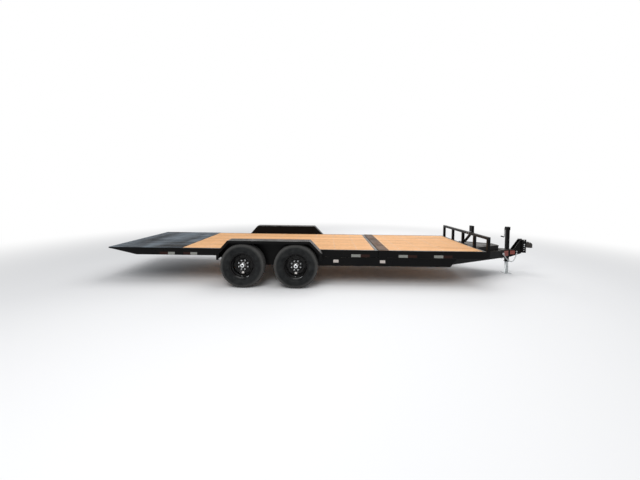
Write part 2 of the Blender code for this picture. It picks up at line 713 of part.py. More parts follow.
def fender_line(inward):
    """The fender's side outline, moved inward from its outer skin."""
    rear_foot, rear_knee, front_knee, front_foot = FENDER_X
    slope_r = math.atan2(FENDER_TOP - FENDER_SHOULDER, rear_knee - rear_foot)
    slope_f = math.atan2(FENDER_TOP - FENDER_SHOULDER, front_foot - front_knee)
    shoulder_r = inward * math.tan((math.pi / 2 - slope_r) / 2)
    shoulder_f = inward * math.tan((math.pi / 2 - slope_f) / 2)
    return [
        (from_tail(rear_foot) + inward, FENDER_FOOT),
        (from_tail(rear_foot) + inward, FENDER_SHOULDER - shoulder_r),
        (from_tail(rear_knee) + inward * math.tan(slope_r / 2), FENDER_TOP - inward),
        (from_tail(front_knee) - inward * math.tan(slope_f / 2), FENDER_TOP - inward),
        (from_tail(front_foot) - inward, FENDER_SHOULDER - shoulder_f),
        (from_tail(front_foot) - inward, FENDER_FOOT),
    ]


def fenders():
    """Drive-over fenders: a bent skin, an outer lip, and the back plate welded to the main rail."""
    skin = fender_line(0) + fender_line(FENDER_T)[::-1]
    lip = fender_line(INSET) + fender_line(FENDER_LIP)[::-1]
    foot = MAIN_BOTTOM + 0.040
    rear, front = from_tail(FENDER_X[0]), from_tail(FENDER_X[3])
    plate = [(rear + 0.03, foot)] + fender_line(INSET) + [(front - 0.03, foot)]
    inner = MAIN_HALF + SEAT
    for side, sign in SIDES:
        def across(a, b):
            return sorted((sign * a, sign * b))
        body = joined(
            prism(skin, "y", *across(inner, FENDER_OUT)),
            prism(lip, "y", *across(FENDER_OUT - FENDER_T, FENDER_OUT - INSET / 2)),
            prism(plate, "y", *across(inner + SEAT, inner + FENDER_T)),
        )
        named(body, f"fender_{side}", BLACK)
        lamp_y, lamp_z = sign * (inner + FENDER_OUT) / 2, (FENDER_FOOT + FENDER_SHOULDER) / 2
        half, r = 0.054, 0.028
        oval = [
            (lamp_y + s * half + r * math.cos(math.radians(a)), lamp_z + r * math.sin(math.radians(a)))
            for s, start in ((1, -90), (-1, 90)) for a in range(start, start + 181, 30)
        ]
        lamp = prism(oval, "x", rear - SEAT - 0.018, rear - SEAT)
        named(lamp, f"tail_lamp_{side}", LENS)


def axles():
    """Torsion axles: square tube under the main rails, trailing arms, backing plates and spindles."""
    half = AXLE_TUBE / 2
    tube_z = MAIN_BOTTOM - 0.006 - half
    rise = TYRE_R - tube_z
    run = math.sqrt(ARM_LENGTH ** 2 - rise ** 2)
    arm_in = MAIN_HALF + FENDER_T + SEAT + 0.004
    arm_out, boss_out = WHEEL_Y - 0.1095, WHEEL_Y - 0.0975
    for place, axle_x in AXLES:
        x = from_tail(axle_x)
        tube_x = x + run
        axle = block((tube_x - half, -DECK_HALF, tube_z - half), (tube_x + half, DECK_HALF, tube_z + half))
        slope = Vector((x - tube_x, TYRE_R - tube_z)).normalized()
        across = Vector((-slope.y, slope.x)) * 0.036
        arm = [
            (tube_x - across.x, tube_z - across.y), (tube_x + across.x, tube_z + across.y),
            (x + across.x, TYRE_R + across.y), (x - across.x, TYRE_R - across.y),
        ]
        pieces = []
        for _, sign in SIDES:
            pieces.append(rod((tube_x, sign * (DECK_HALF - 0.01), tube_z), (tube_x, sign * (arm_out - 0.001), tube_z), 0.040, 20))
            pieces.append(prism(arm, "y", *sorted((sign * arm_in, sign * arm_out))))
            pieces.append(rod((x, sign * arm_in, TYRE_R), (x, sign * boss_out, TYRE_R), 0.042, 20))
            pieces.append(rod((x, sign * (boss_out - 0.001), TYRE_R), (x, sign * (boss_out + 0.0045), TYRE_R), 0.145, 28))
            pieces.append(rod((x, sign * boss_out, TYRE_R), (x, sign * (WHEEL_Y + 0.020), TYRE_R), SPINDLE_R, 20))
            pieces.append(rod((x, sign * boss_out, TYRE_R), (x, sign * (WHEEL_Y - 0.062 - SEAT), TYRE_R), 0.036, 20))
            bracket = sorted((sign * (DECK_HALF - 0.045), sign * DECK_HALF))
            pieces.append(block(
                (tube_x - 0.060, bracket[0], tube_z + half - 0.001),
                (tube_x + 0.060, bracket[1], MAIN_BOTTOM - SEAT),
            ))
        named(smooth(joined(axle, *pieces)), f"axle_{place}", BLACK)


def wheels():
    """Tyre, drop-centre steel rim with eight nuts, and the brake drum with its hub, at four corners."""
    tread = TYRE_R
    half = TYRE_HALF_W
    bead = BEAD_R + SEAT
    side_line = [
        (bead, 0.0768), (0.2223, 0.0843), (0.2235, 0.0910), (0.240, 0.104), (0.285, half),
        (0.335, half - 0.006), (0.370, half - 0.020), (tread - 0.002, half - 0.040), (tread, 0.0),
    ]
    tyre_profile = side_line + [(r, -w) for r, w in side_line[-2::-1]]
    rim_w = RIM_HALF_W
    rim_profile = [
        (0.222, rim_w), (0.222, rim_w - 0.005), (BEAD_R, 0.0775), (BEAD_R, 0.045), (0.182, 0.030), (0.182, -0.025),
        (BEAD_R, -0.045), (BEAD_R, -0.0775), (0.222, -rim_w + 0.005), (0.222, -rim_w),
        (0.198, -0.075), (0.176, -0.022), (0.170, -DISC_T / 2), (0.064, -DISC_T / 2), (0.064, DISC_T / 2),
        (0.105, DISC_T / 2), (0.132, 0.024), (0.155, 0.024), (0.176, 0.014), (0.176, 0.030), (0.198, 0.048), (0.198, 0.075),
    ]
    face = -DISC_T / 2 - SEAT
    hub_profile = [
        (HUB_BORE_R, -0.062), (0.050, -0.062), (0.050, face - 0.014), (DRUM_R - 0.011, face - 0.014), (DRUM_R - 0.011, -0.086),
        (DRUM_R, -0.086), (DRUM_R, face), (0.060, face), (0.060, 0.030), (0.041, 0.034), (0.039, 0.074), (0.028, 0.082),
        (0.0, 0.082), (0.0, 0.032), (HUB_BORE_R, 0.032),
    ]
    for place, axle_x in AXLES:
        for side, sign in SIDES:
            where = f"{place}_{side}"
            centre = (from_tail(axle_x), sign * WHEEL_Y, TYRE_R)
            named(smooth(turned(tyre_profile, centre, sign, WHEEL_STEPS)), f"tyre_{where}", RUBBER)
            rim = turned(rim_profile, centre, sign, WHEEL_STEPS)
            nuts = []
            for i in range(LUG_COUNT):
                turn = 2 * math.pi * (i + 0.5) / LUG_COUNT
                nut_x = centre[0] + LUG_CIRCLE_R * math.cos(turn)
                nut_z = centre[2] + LUG_CIRCLE_R * math.sin(turn)
                nuts.append(rod(
                    (nut_x, centre[1] + sign * (DISC_T / 2 - 0.001), nut_z),
                    (nut_x, centre[1] + sign * (DISC_T / 2 + 0.024), nut_z), 0.012, 6,
                ))
            named(smooth(joined(rim, *nuts)), f"rim_{where}", WHEEL_BLACK)
            named(smooth(turned(hub_profile, centre, sign, HUB_STEPS)), f"hub_{where}", CAST)


def cushion_cylinder():
    """The damper between main frame and tilting deck: barrel, rod, and the deck's clevis."""
    base, eye = Vector((from_tail(CYL_BASE[0]), 0, CYL_BASE[1])), Vector((from_tail(CYL_EYE[0]), 0, CYL_EYE[1]))
    along = (eye - base).normalized()
    gland = base + along * CYL_LENGTH
    half = EYE_W / 2
    barrel = joined(
        rod(base + along * 0.045, gland, CYL_R, 20),
        rod(base - Vector((0, half, 0)), base + Vector((0, half, 0)), 0.026, 20),
        rod(base + along * 0.010, base + along * 0.050, 0.014, 12),
    )
    pin_hole = rod(base - Vector((0, 1, 0)) * 0.05, base + Vector((0, 1, 0)) * 0.05, PIN_R + SEAT)
    bore = rod(gland - along * (ROD_INSIDE + 0.060), gland + along * 0.05, ROD_R + SEAT, 20)
    named(smooth(cut(barrel, pin_hole, bore)), "cylinder_barrel", BLACK)
    ram = joined(
        rod(gland - along * ROD_INSIDE, eye - along * 0.018, ROD_R, 20),
        rod(eye - Vector((0, half, 0)), eye + Vector((0, half, 0)), 0.026, 24),
    )
    named(smooth(ram), "cylinder_rod", ZINC)
    x, z = eye.x, eye.z
    top = CROSS_TOP - CROSS_H - SEAT
    cheek = [(x - 0.035, top), (x - 0.020, z - 0.020), (x + 0.020, z - 0.020), (x + 0.035, top)]
    inner, outer = half + SEAT, half + 0.008
    cheeks = [prism(cheek, "y", *sorted((sign * inner, sign * outer))) for _, sign in SIDES]
    bridge = block((x - 0.034, -outer + INSET, top - 0.006), (x + 0.034, outer - INSET, top - SEAT))
    ends = [rod((x, sign * (outer - 0.002), z), (x, sign * (outer + 0.012), z), PIN_R, 16) for _, sign in SIDES]
    named(joined(bridge, *cheeks, *ends), "cylinder_clevis", BLACK)


def chains():
    """Two safety chains, each hung from the tongue rail's side and hooked up by the nose."""
    for side, sign in SIDES:
        tab_x, hook_x = CHAIN_X
        start = Vector((from_tail(tab_x), sign * (tongue_half(tab_x) + 0.016), 0.440))
        end = Vector((from_tail(hook_x), sign * (NOSE_HALF + 0.014), 0.470))
        lean = math.tan(math.radians(TONGUE_DEG))
        tab = [
            (from_tail(tab_x + dx), sign * (tongue_half(tab_x) - lean * dx + out))
            for dx, out in ((-0.022, SEAT * 1.2), (0.022, SEAT * 1.2), (0.022, 0.030), (-0.022, 0.030))
        ]
        hook = block(
            (from_tail(hook_x - 0.016), min(sign * (NOSE_HALF + SEAT), sign * (NOSE_HALF + 0.028)), 0.450),
            (from_tail(hook_x + 0.016), max(sign * (NOSE_HALF + SEAT), sign * (NOSE_HALF + 0.028)), 0.490),
        )
        points = []
        for i in range(17):
            t = i / 16
            place = start.lerp(end, t)
            place.z -= 0.62 * t * (1 - t)
            place.y += sign * 0.055 * math.sin(math.pi * t)
            points.append(place)
        chain = joined(bent_tube(points, 0.011), prism(tab, "z", 0.418, 0.462), hook)
        named(smooth(chain), f"safety_chain_{side}", ZINC)


def latch():
    """The spring bolt under the joint that locks the tilting deck down, drawn back with its lever."""
    x = from_tail(TILT_LENGTH + JOINT_GAP + INSET + SECTION[1]) + SEAT
    z = DECK_Z - 0.075
    housing = block((x, -0.030, z - 0.022), (x + 0.030, 0.030, z + 0.022))
    bolt = rod((x + 0.002, 0, z), (x + 0.110, 0, z), 0.012, 16)
    lever = bent_tube([(x + 0.100, 0, z), (x + 0.105, 0, z - 0.050), (x + 0.105, -0.180, z - 0.058)], 0.008)
    named(joined(housing, bolt, lever), "deck_latch", ZINC)


tilt_deck()
pivot()
fixed_deck()
main_frame()
tongue()
coupler()
jack()
headboard()
toolbox()
fenders()
axles()
wheels()
cushion_cylinder()
chains()
latch()
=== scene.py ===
"""Looks of a tandem-axle tilt trailer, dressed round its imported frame.

Metres. +X runs forward to the coupler, +Y to the trailer's left, +Z up, and the ground is at zero.
"""
import random
from math import copysign, cos, hypot, pi, radians, sin, tan

import bmesh
import bpy
from mathutils import Matrix, Vector


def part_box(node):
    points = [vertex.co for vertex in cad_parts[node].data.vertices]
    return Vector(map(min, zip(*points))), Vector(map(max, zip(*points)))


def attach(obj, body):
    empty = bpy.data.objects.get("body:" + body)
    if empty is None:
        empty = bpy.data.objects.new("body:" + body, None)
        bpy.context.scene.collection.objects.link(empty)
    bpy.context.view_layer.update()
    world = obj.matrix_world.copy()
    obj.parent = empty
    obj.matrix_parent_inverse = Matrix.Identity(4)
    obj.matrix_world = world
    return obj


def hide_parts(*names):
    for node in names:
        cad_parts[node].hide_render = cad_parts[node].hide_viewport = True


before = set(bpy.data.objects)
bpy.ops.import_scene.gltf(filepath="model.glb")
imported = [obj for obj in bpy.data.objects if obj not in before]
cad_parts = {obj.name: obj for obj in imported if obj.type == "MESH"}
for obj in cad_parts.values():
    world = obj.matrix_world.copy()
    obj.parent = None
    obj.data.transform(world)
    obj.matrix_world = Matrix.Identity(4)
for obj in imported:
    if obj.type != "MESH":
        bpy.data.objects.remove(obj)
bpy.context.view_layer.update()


# The photograph's viewpoint: eye height, about 6.5 m off the right side, a wide lens.
# Its frame was cropped, so the lens is shifted a little.
def put(name, data):
    """A new object in the scene."""
    made = bpy.data.objects.new(name, data)
    bpy.context.scene.collection.objects.link(made)
    return made


CAMERA_PLACE = (-0.234, -6.456, 1.671)
CAMERA_YAW, CAMERA_PITCH, CAMERA_ROLL = 0.0091, 0.0411, 0.0117
camera = put("camera", bpy.data.cameras.new("camera"))
camera.data.sensor_width = 36.0
camera.data.lens = 17.051
camera.data.shift_x = -0.0047
camera.data.shift_y = -0.0547
camera.data.clip_end = 400     # past the floor's far edge
camera.matrix_world = (
    Matrix.Translation(CAMERA_PLACE)
    @ Matrix.Rotation(CAMERA_YAW, 4, "Z")
    @ Matrix.Rotation(pi / 2 - CAMERA_PITCH, 4, "X")
    @ Matrix.Rotation(CAMERA_ROLL, 4, "Z")
)
bpy.context.scene.camera = camera
bpy.context.scene.view_settings.view_transform = "Standard"


# A plain studio: a white floor that keeps a soft shadow, white surroundings, one large soft
# lamp on the camera's side, one overhead and a weaker one behind.
def linear(code):
    """An sRGB hex colour as linear RGBA."""
    parts = [int(code[i:i + 2], 16) / 255 for i in (1, 3, 5)]
    return (*[c / 12.92 if c <= 0.04045 else ((c + 0.055) / 1.055) ** 2.4 for c in parts], 1.0)


def add(tree, kind, values=None, links=None, **settings):
    """One node: its properties, its sockets' values, and the sockets or nodes that feed them."""
    made = tree.nodes.new("ShaderNode" + kind)
    for key, value in settings.items():
        setattr(made, key, value)
    for key, value in (values or {}).items():
        made.inputs[key].default_value = value
    for key, source in (links or {}).items():
        tree.links.new(getattr(source, "outputs", [source])[0], made.inputs[key])
    return made


def any_ray(tree):
    """1 for rays that show the background: straight, mirrored or through glass."""
    path = add(tree, "LightPath")
    mirrored = add(tree, "Math", operation="MAXIMUM",
                   links={0: path.outputs["Is Camera Ray"], 1: path.outputs["Is Glossy Ray"]})
    return add(tree, "Math", operation="MAXIMUM",
               links={0: mirrored, 1: path.outputs["Is Transmission Ray"]}).outputs[0]


world = bpy.data.worlds.new("studio")
bpy.context.scene.world = world
world.use_nodes = True
tree = world.node_tree
tree.nodes.clear()
shown = any_ray(tree)
soft_sky = add(tree, "Background", values={"Color": linear("#f4f6fa"), "Strength": 0.47})
white_wall = add(tree, "Background", values={"Color": (1, 1, 1, 1), "Strength": 1.0})
sky = add(tree, "MixShader", links={0: shown, 1: soft_sky, 2: white_wall})
add(tree, "OutputWorld", links={"Surface": sky})


def mesh_of(name, shape):
    """Turns a finished shape into a mesh."""
    mesh = bpy.data.meshes.new(name)
    shape.to_mesh(mesh)
    shape.free()
    return mesh


# The floor is matt white paper, laid flat and far past what the camera sees.
FLOOR_REACH = 80.0
WHITE_FROM, WHITE_TO = 5.0, 11.0      # the floor fades to pure white between these distances
sheet = bmesh.new()
bmesh.ops.create_grid(sheet, x_segments=1, y_segments=1, size=FLOOR_REACH)
floor = put("floor", mesh_of("floor", sheet))
paper = bpy.data.materials.new("white_paper_floor")
paper.use_nodes = True
tree = paper.node_tree
tree.nodes.clear()
place = add(tree, "TexCoord")
distance = add(tree, "VectorMath", operation="LENGTH", links={0: place.outputs["Object"]})
far_off = add(tree, "MapRange", interpolation_type="SMOOTHSTEP",
              values={"From Min": WHITE_FROM, "From Max": WHITE_TO},
              links={"Value": distance.outputs["Value"]})
shown = any_ray(tree)
white_share = add(tree, "Math", operation="MULTIPLY", links={0: shown, 1: far_off})
matt = add(tree, "BsdfDiffuse", values={"Color": linear("#f2f2f2")})
glow = add(tree, "Emission", values={"Color": (1, 1, 1, 1), "Strength": 1.0})
surface = add(tree, "MixShader", links={0: white_share, 1: matt, 2: glow})
add(tree, "OutputMaterial", links={"Surface": surface})
floor.data.materials.append(paper)

LAMPS = (  # name, place, watts, width
    ("key_lamp", (-2.0, -6.5, 6.5), 290, 5.0),
    ("top_lamp", (1.5, 0.5, 7.5), 310, 7.0),
    ("back_lamp", (3.0, 7.0, 4.5), 120, 4.0),
)
for name, spot, watts, width in LAMPS:
    lamp = put(name, bpy.data.lights.new(name, "AREA"))
    lamp.data.energy = watts
    lamp.data.size = width
    lamp.location = spot
    aim = Vector((0, 0, 0.5)) - Vector(spot)
    lamp.rotation_euler = aim.to_track_quat("-Z", "Y").to_euler()


def new_finish(name, base, roughness, metallic=0.0, specular=0.5, coat=0.0):
    """A material, its constants set on the shader itself."""
    made = bpy.data.materials.new(name)
    made.use_nodes = True
    shader = made.node_tree.nodes["Principled BSDF"]
    shader.inputs["Base Color"].default_value = linear(base)
    shader.inputs["Roughness"].default_value = roughness
    shader.inputs["Metallic"].default_value = metallic
    shader.inputs["Specular IOR Level"].default_value = specular
    shader.inputs["Coat Weight"].default_value = coat
    return made, made.node_tree, shader


def blotches(tree, size_m, low=0.0, high=1.0, detail=5.0, stretch=(1, 1, 1)):
    """Noise of a real size, spread between two values."""
    place = add(tree, "TexCoord").outputs["Object"]
    drawn = add(tree, "Mapping", values={"Scale": stretch}, links={"Vector": place})
    noise_map = add(tree, "TexNoise", values={"Scale": 1 / size_m, "Detail": detail},
                    links={"Vector": drawn})
    return add(tree, "MapRange", links={"Value": noise_map.outputs["Fac"]},
               values={"From Min": 0.3, "From Max": 0.7, "To Min": low, "To Max": high}).outputs[0]


def two_tones(tree, shader, first, second, share):
    """Colours the surface between two hex tones by a share of the second."""
    tones = add(tree, "Mix", data_type="RGBA", values={6: linear(first), 7: linear(second)},
                links={0: share})
    tree.links.new(tones.outputs[2], shader.inputs["Base Color"])


def roughen(tree, shader, size_m, depth_m, strength=0.3):
    """Small relief that is too fine for the mesh."""
    height = blotches(tree, size_m, detail=2.0)
    relief = add(tree, "Bump", values={"Strength": strength, "Distance": depth_m},
                 links={"Height": height})
    tree.links.new(relief.outputs[0], shader.inputs["Normal"])


# Gloss enamel sprayed on mill scale: deep black and a faint orange peel. Faces that point up are
# painted a lighter brown-grey in patches: partly road dust, partly a painted sheen of the sky on the tops.
PEEL_M = 0.004           # real orange peel is about 1 mm, drawn coarser so that it shows
DUST_AND_SHEEN_PATCH_M = 0.35
enamel, tree, shader = new_finish("gloss_black_enamel", "#060607", 0.30, specular=0.09)
geometry = add(tree, "NewGeometry")
facing = add(tree, "SeparateXYZ", links={0: geometry.outputs["Normal"]})
# painted top sheen mixed with road dust: the more a face points up, the lighter its colour
upward_sheen = add(tree, "MapRange", links={"Value": facing.outputs["Z"]},
             values={"From Min": 0.4, "From Max": 1.0, "To Min": 0.04, "To Max": 0.9})
dust_and_top_sheen = add(tree, "Math", operation="MULTIPLY",
                 links={0: blotches(tree, DUST_AND_SHEEN_PATCH_M, 0.15, 0.75), 1: upward_sheen})
two_tones(tree, shader, "#060607", "#4d4844", dust_and_top_sheen.outputs[0])
tree.links.new(blotches(tree, 0.12, 0.24, 0.44), shader.inputs["Roughness"])
roughen(tree, shader, PEEL_M, 0.0003, 0.15)


def ease_edges(made, width, segments=2):
    """A rounding along every edge sharper than 40 degrees."""
    rounding = made.modifiers.new("eased_edges", "BEVEL")
    rounding.width = width
    rounding.segments = segments
    rounding.limit_method = "ANGLE"
    rounding.angle_limit = radians(40)
    return rounding


SAME_POINT = 0.00002     # corners of the CAD mesh nearer than this are one
SLIVER = 0.00006         # rounding leaves no edge shorter than this


def dress(finish, ease, *names):
    """Gives solids their finish and rounds their edges."""
    for name in names:
        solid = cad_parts[name]
        solid.data.materials.clear()
        solid.data.materials.append(finish)
        if ease:
            solid.modifiers.new("one_skin", "WELD").merge_threshold = SAME_POINT
            flat = solid.modifiers.new("whole_faces", "DECIMATE")
            flat.decimate_type = "DISSOLVE"
            flat.angle_limit = radians(0.5)
            ease_edges(solid, ease)
            solid.modifiers.new("no_slivers", "WELD").merge_threshold = SLIVER


dress(enamel, 0.0025, "main_rail_left", "main_rail_right", "tongue_rail_left", "tongue_rail_right",
      "fixed_deck_frame", "tilt_deck_frame", "tongue_nose",
      *[f"main_crossmember_{place}" for place in ("rear", "middle", "joint", "front")])


# Weld beads lie where posts, crossmembers and plates meet. Each is laid in short overlapping
# ripples about 8 mm wide and painted with the frame.
def piece(name, shape, finish, body, bevel=0.0, segments=2, smooth=38):
    """A finished mesh that rides on a body."""
    shape.normal_update()
    bmesh.ops.recalc_face_normals(shape, faces=shape.faces)
    made = put(name, mesh_of(name, shape))
    made.data.materials.append(finish)
    made.data.shade_smooth()
    made.data.set_sharp_from_angle(angle=radians(smooth))
    if bevel:
        ease_edges(made, bevel, segments).harden_normals = True
    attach(made, body)
    return made


def skin(shape, rings, around=False):
    """Joins rings of corners with quads; where they don't run around, the ends get caps."""
    pairs = list(zip(rings, rings[1:])) + ([(rings[-1], rings[0])] if around else [])
    for first, second in pairs:
        for k in range(len(first)):
            j = (k + 1) % len(first)
            shape.faces.new((first[k], first[j], second[j], second[k]))
    if not around:
        shape.faces.new(rings[0][::-1])
        shape.faces.new(rings[-1])


def tube(shape, points, radius, sides=8, closed=False):
    """A round bar through points; radius is one value or one for each point."""
    points = [Vector(p) for p in points]
    radii = radius if isinstance(radius, (list, tuple)) else [radius] * len(points)
    count = len(points)
    rings, normal = [], None
    for i, point in enumerate(points):
        if closed:
            ahead, behind = points[(i + 1) % count], points[i - 1]
        else:
            ahead, behind = points[min(i + 1, count - 1)], points[max(i - 1, 0)]
        along = (ahead - behind).normalized()
        if normal is None:
            normal = along.orthogonal().normalized()
        normal = (normal - along * normal.dot(along)).normalized()
        across = along.cross(normal)
        rings.append([
            shape.verts.new(point + (normal * cos(2 * pi * k / sides)
                                     + across * sin(2 * pi * k / sides)) * radii[i])
            for k in range(sides)
        ])
    skin(shape, rings, closed)


WELD_R, RIPPLE = 0.0042, 0.0045


def bead(shape, start, end):
    """One rippled weld between two points."""
    start, end = Vector(start), Vector(end)
    steps = max(3, int((end - start).length / RIPPLE))
    tube(shape, [start.lerp(end, i / steps) for i in range(steps + 1)],
         [WELD_R * (1.0 if i % 2 else 0.82) for i in range(steps + 1)], sides=6)


rail_low, rail_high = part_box("main_rail_left")
tilt_low, tilt_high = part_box("tilt_deck_frame")
fixed_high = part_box("fixed_deck_frame")[1]


def from_tail(x):
    """A distance forward of the tail's edge as a model X."""
    return x + tilt_low.x


TILT_LINES = [from_tail(1.320 + 3.560 * i / 9) for i in range(10)]     # the crossmembers' webs
FIXED_LINES = [from_tail(4.875 + 1.960 * i / 5) for i in range(1, 5)]
FRAME_LINES = (3.080, 3.340, 4.840, 5.800)     # the main frame's crossmembers
TAIL_BAR = 0.910
RAIL_WEB_Y, DECK_WEB_Y, STITCH_Y = 1.030, 1.0265, 1.0385
RAIL_CORNER, CROSS_WELD_LONG = 0.012, 0.034
CROSS_WELD_Z = (0.540, 0.598)
STITCH_FIRST, STITCH_PITCH, STITCH_LONG = 5.05, 0.38, 0.09


def cross_weld(shape, x, sign):
    """The upright bead at a crossmember's end."""
    bead(shape, *[(x, sign * DECK_WEB_Y, z) for z in CROSS_WELD_Z])


welds = bmesh.new()
for sign in (1, -1):
    y = sign * RAIL_WEB_Y
    for x in FRAME_LINES:
        for z in (rail_low.z + RAIL_CORNER, rail_high.z - RAIL_CORNER):
            bead(welds, (from_tail(x), y, z), (from_tail(x) + CROSS_WELD_LONG, y, z))
    for x in FIXED_LINES:
        cross_weld(welds, x, sign)
    for k in range(4):
        x, z = from_tail(STITCH_FIRST + STITCH_PITCH * k), rail_high.z + 0.003
        bead(welds, (x, sign * STITCH_Y, z), (x + STITCH_LONG, sign * STITCH_Y, z))
piece("main_frame_welds", welds, enamel, "chassis")

deck_welds = bmesh.new()
for x in TILT_LINES[1:-1] + [from_tail(TAIL_BAR)]:
    for sign in (1, -1):
        cross_weld(deck_welds, x, sign)
piece("tilt_deck_welds", deck_welds, enamel, "tilt_deck")


# The decks are full-length treated pine boards, 38 mm thick, laid lengthways between the rails
# and screwed to each crossmember. They are new: warm yellow, with straight grain and few knots.
BOARD_COUNT = 11
BOARD_GAP, BOARD_ROUND = 0.005, 0.0035
GRAIN_M = 0.0045         # growth rings are about 3 mm apart, drawn a little coarser
STREAKS_A_METRE = 26.0
KNOTS_A_METRE = (1 / 0.70, 1 / 0.18, 5.6)     # along a board, across it and through it
board_low, board_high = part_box("tilt_deck_boards")
BOARD_PITCH = (board_high.y - board_low.y) / BOARD_COUNT

# Sawn treated pine: a matt surface whose colour changes from board to board, with streaks
# of darker late wood along it and a few brown knots.
pine, tree, shader = new_finish("sawn_treated_pine", "#e9b380", 0.70, specular=0.15)
place = add(tree, "TexCoord").outputs["Object"]
axes = add(tree, "SeparateXYZ", links={0: place})
across = add(tree, "Math", operation="DIVIDE", values={1: BOARD_PITCH},
             links={0: axes.outputs["Y"]})
shifted = add(tree, "Math", operation="ADD", values={1: 100.5}, links={0: across})
number = add(tree, "Math", operation="FLOOR", links={0: shifted})
chance = add(tree, "TexWhiteNoise", noise_dimensions="1D", links={"W": number})
slide = add(tree, "Math", operation="MULTIPLY_ADD", values={1: 13.0},
            links={0: chance.outputs["Value"], 2: axes.outputs["X"]})
moved = add(tree, "CombineXYZ",
            links={"X": slide, "Y": axes.outputs["Y"], "Z": axes.outputs["Z"]})
wander = add(tree, "TexNoise", values={"Scale": 1.6, "Detail": 1.0},
             links={"Vector": moved})
bent = add(tree, "VectorMath", operation="MULTIPLY_ADD", values={1: (0.0, 0.06, 0.0)},
           links={0: wander.outputs["Color"], 2: moved})
stretched = add(tree, "Mapping", values={"Scale": (0.030, 1.0, 1.0)},
                links={"Vector": bent})
grain = add(tree, "TexNoise", values={"Scale": 1 / GRAIN_M, "Detail": 5.0, "Roughness": 0.6},
            links={"Vector": stretched})
streaks = add(tree, "TexNoise", values={"Scale": STREAKS_A_METRE, "Detail": 2.0},
              links={"Vector": stretched})
rings = add(tree, "Mix", data_type="FLOAT", values={0: 0.45},
            links={2: grain.outputs["Fac"], 3: streaks.outputs["Fac"]})
tone = add(tree, "ValToRGB", links={0: rings})
ramp = tone.color_ramp.elements
ramp[0].position, ramp[0].color = 0.34, linear("#ba8658")
ramp[1].position, ramp[1].color = 0.62, linear("#f0c08f")
ramp.new(0.47).color = linear("#e6af7b")
knot_place = add(tree, "Mapping", values={"Scale": KNOTS_A_METRE},
                 links={"Vector": moved})
knots = add(tree, "TexVoronoi", values={"Scale": 1.0}, links={"Vector": knot_place})
knot_core = add(tree, "MapRange", links={"Value": knots.outputs["Distance"]},
                values={"From Min": 0.035, "From Max": 0.085, "To Min": 0.85, "To Max": 0.0})
lightness = add(tree, "MapRange", values={"To Min": 0.86, "To Max": 1.04},
                links={"Value": chance.outputs["Value"]})
handled = add(tree, "Math", operation="MULTIPLY",
              links={0: lightness, 1: blotches(tree, 0.055, 0.93, 1.06, detail=3.0)})
board_tone = add(tree, "VectorMath", operation="SCALE",
                 links={0: tone.outputs["Color"], "Scale": handled})
with_knots = add(tree, "Mix", data_type="RGBA", values={7: linear("#7d4a26")},
                 links={0: knot_core, 6: board_tone})
tree.links.new(with_knots.outputs[2], shader.inputs["Base Color"])
relief = add(tree, "Bump", values={"Strength": 0.35, "Distance": 0.0010},
             links={"Height": grain.outputs["Fac"]})
tree.links.new(relief.outputs[0], shader.inputs["Normal"])
random.seed(11)


def box(shape, corner, far_corner):
    """An axis-aligned block between two opposite corners."""
    low, high = [Vector(map(pick, corner, far_corner)) for pick in (min, max)]
    made = bmesh.ops.create_cube(shape, size=1.0)["verts"]
    for vert in made:
        vert.co = (low + high) / 2 + Vector([vert.co[k] * (high - low)[k] for k in range(3)])
    return made


for node, name, body in (("tilt_deck_boards", "tilt_deck_planks", "tilt_deck"),
                         ("fixed_deck_boards", "fixed_deck_planks", "chassis")):
    low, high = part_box(node)
    planks = bmesh.new()
    for i in range(BOARD_COUNT):
        y = low.y + i * BOARD_PITCH + BOARD_GAP / 2
        short = random.uniform(0.0, 0.003)
        box(planks, (low.x + short, y, low.z),
            (high.x - short, y + BOARD_PITCH - BOARD_GAP, high.z - random.uniform(0.0, 0.0012)))
    made = piece(name, planks, pine, body, bevel=BOARD_ROUND, segments=3)
    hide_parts(node)


# Self-drilling flange-head screws hold each board, two to a crossmember, sunk nearly flush.
# They are turned steel, zinc-plated: a bright metal with a fine spangle and a slight haze.
SPANGLE_M = 0.004
FLANGE = 0.018           # half a crossmember's flange, where the screws bite
SCREW_HEAD_R, SCREW_EDGE, SCREW_STRAY = 0.0078, 0.020, 0.004
zinc, tree, shader = new_finish("bright_zinc_plate", "#b4b7b9", 0.34, metallic=1.0)
tree.links.new(blotches(tree, SPANGLE_M, 0.24, 0.46, detail=3.0), shader.inputs["Roughness"])
two_tones(tree, shader, "#94989b", "#cdd0d0", blotches(tree, 0.02))


def disc(shape, centre, radius, height, steps=12, axis=(0, 0, 1), tip=1.0):
    """A short round or many-sided stud standing on a face, its far end narrowed by tip."""
    axis = Vector(axis).normalized()
    turn = axis.to_track_quat("Z", "Y").to_matrix().to_4x4()
    place = Matrix.Translation(Vector(centre) + axis * height / 2) @ turn
    return bmesh.ops.create_cone(shape, cap_ends=True, segments=steps, radius1=radius,
                                 radius2=radius * tip, depth=height, matrix=place)["verts"]


FIXED_ROWS = [from_tail(5.078)] + FIXED_LINES + [fixed_high.x - 0.090]
for node, name, body, lines in (("tilt_deck_boards", "tilt_deck_screws", "tilt_deck", TILT_LINES),
                                ("fixed_deck_boards", "fixed_deck_screws", "chassis", FIXED_ROWS)):
    low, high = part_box(node)
    screws = bmesh.new()
    for x in lines:
        x = min(max(x + FLANGE, low.x + SCREW_EDGE), high.x - SCREW_EDGE)
        for i in range(BOARD_COUNT):
            for share in (0.22, 0.78):
                stray_x = random.uniform(-SCREW_STRAY, SCREW_STRAY)
                y = low.y + (i + share) * BOARD_PITCH + random.uniform(-SCREW_STRAY, SCREW_STRAY)
                spot = Vector((x + stray_x, y, high.z - 0.0008))
                disc(screws, spot, SCREW_HEAD_R, 0.0014, 12, tip=0.8)
                disc(screws, spot + Vector((0, 0, 0.0012)), 0.0038, 0.0010, 6, tip=0.9)
    piece(name, screws, zinc, body)
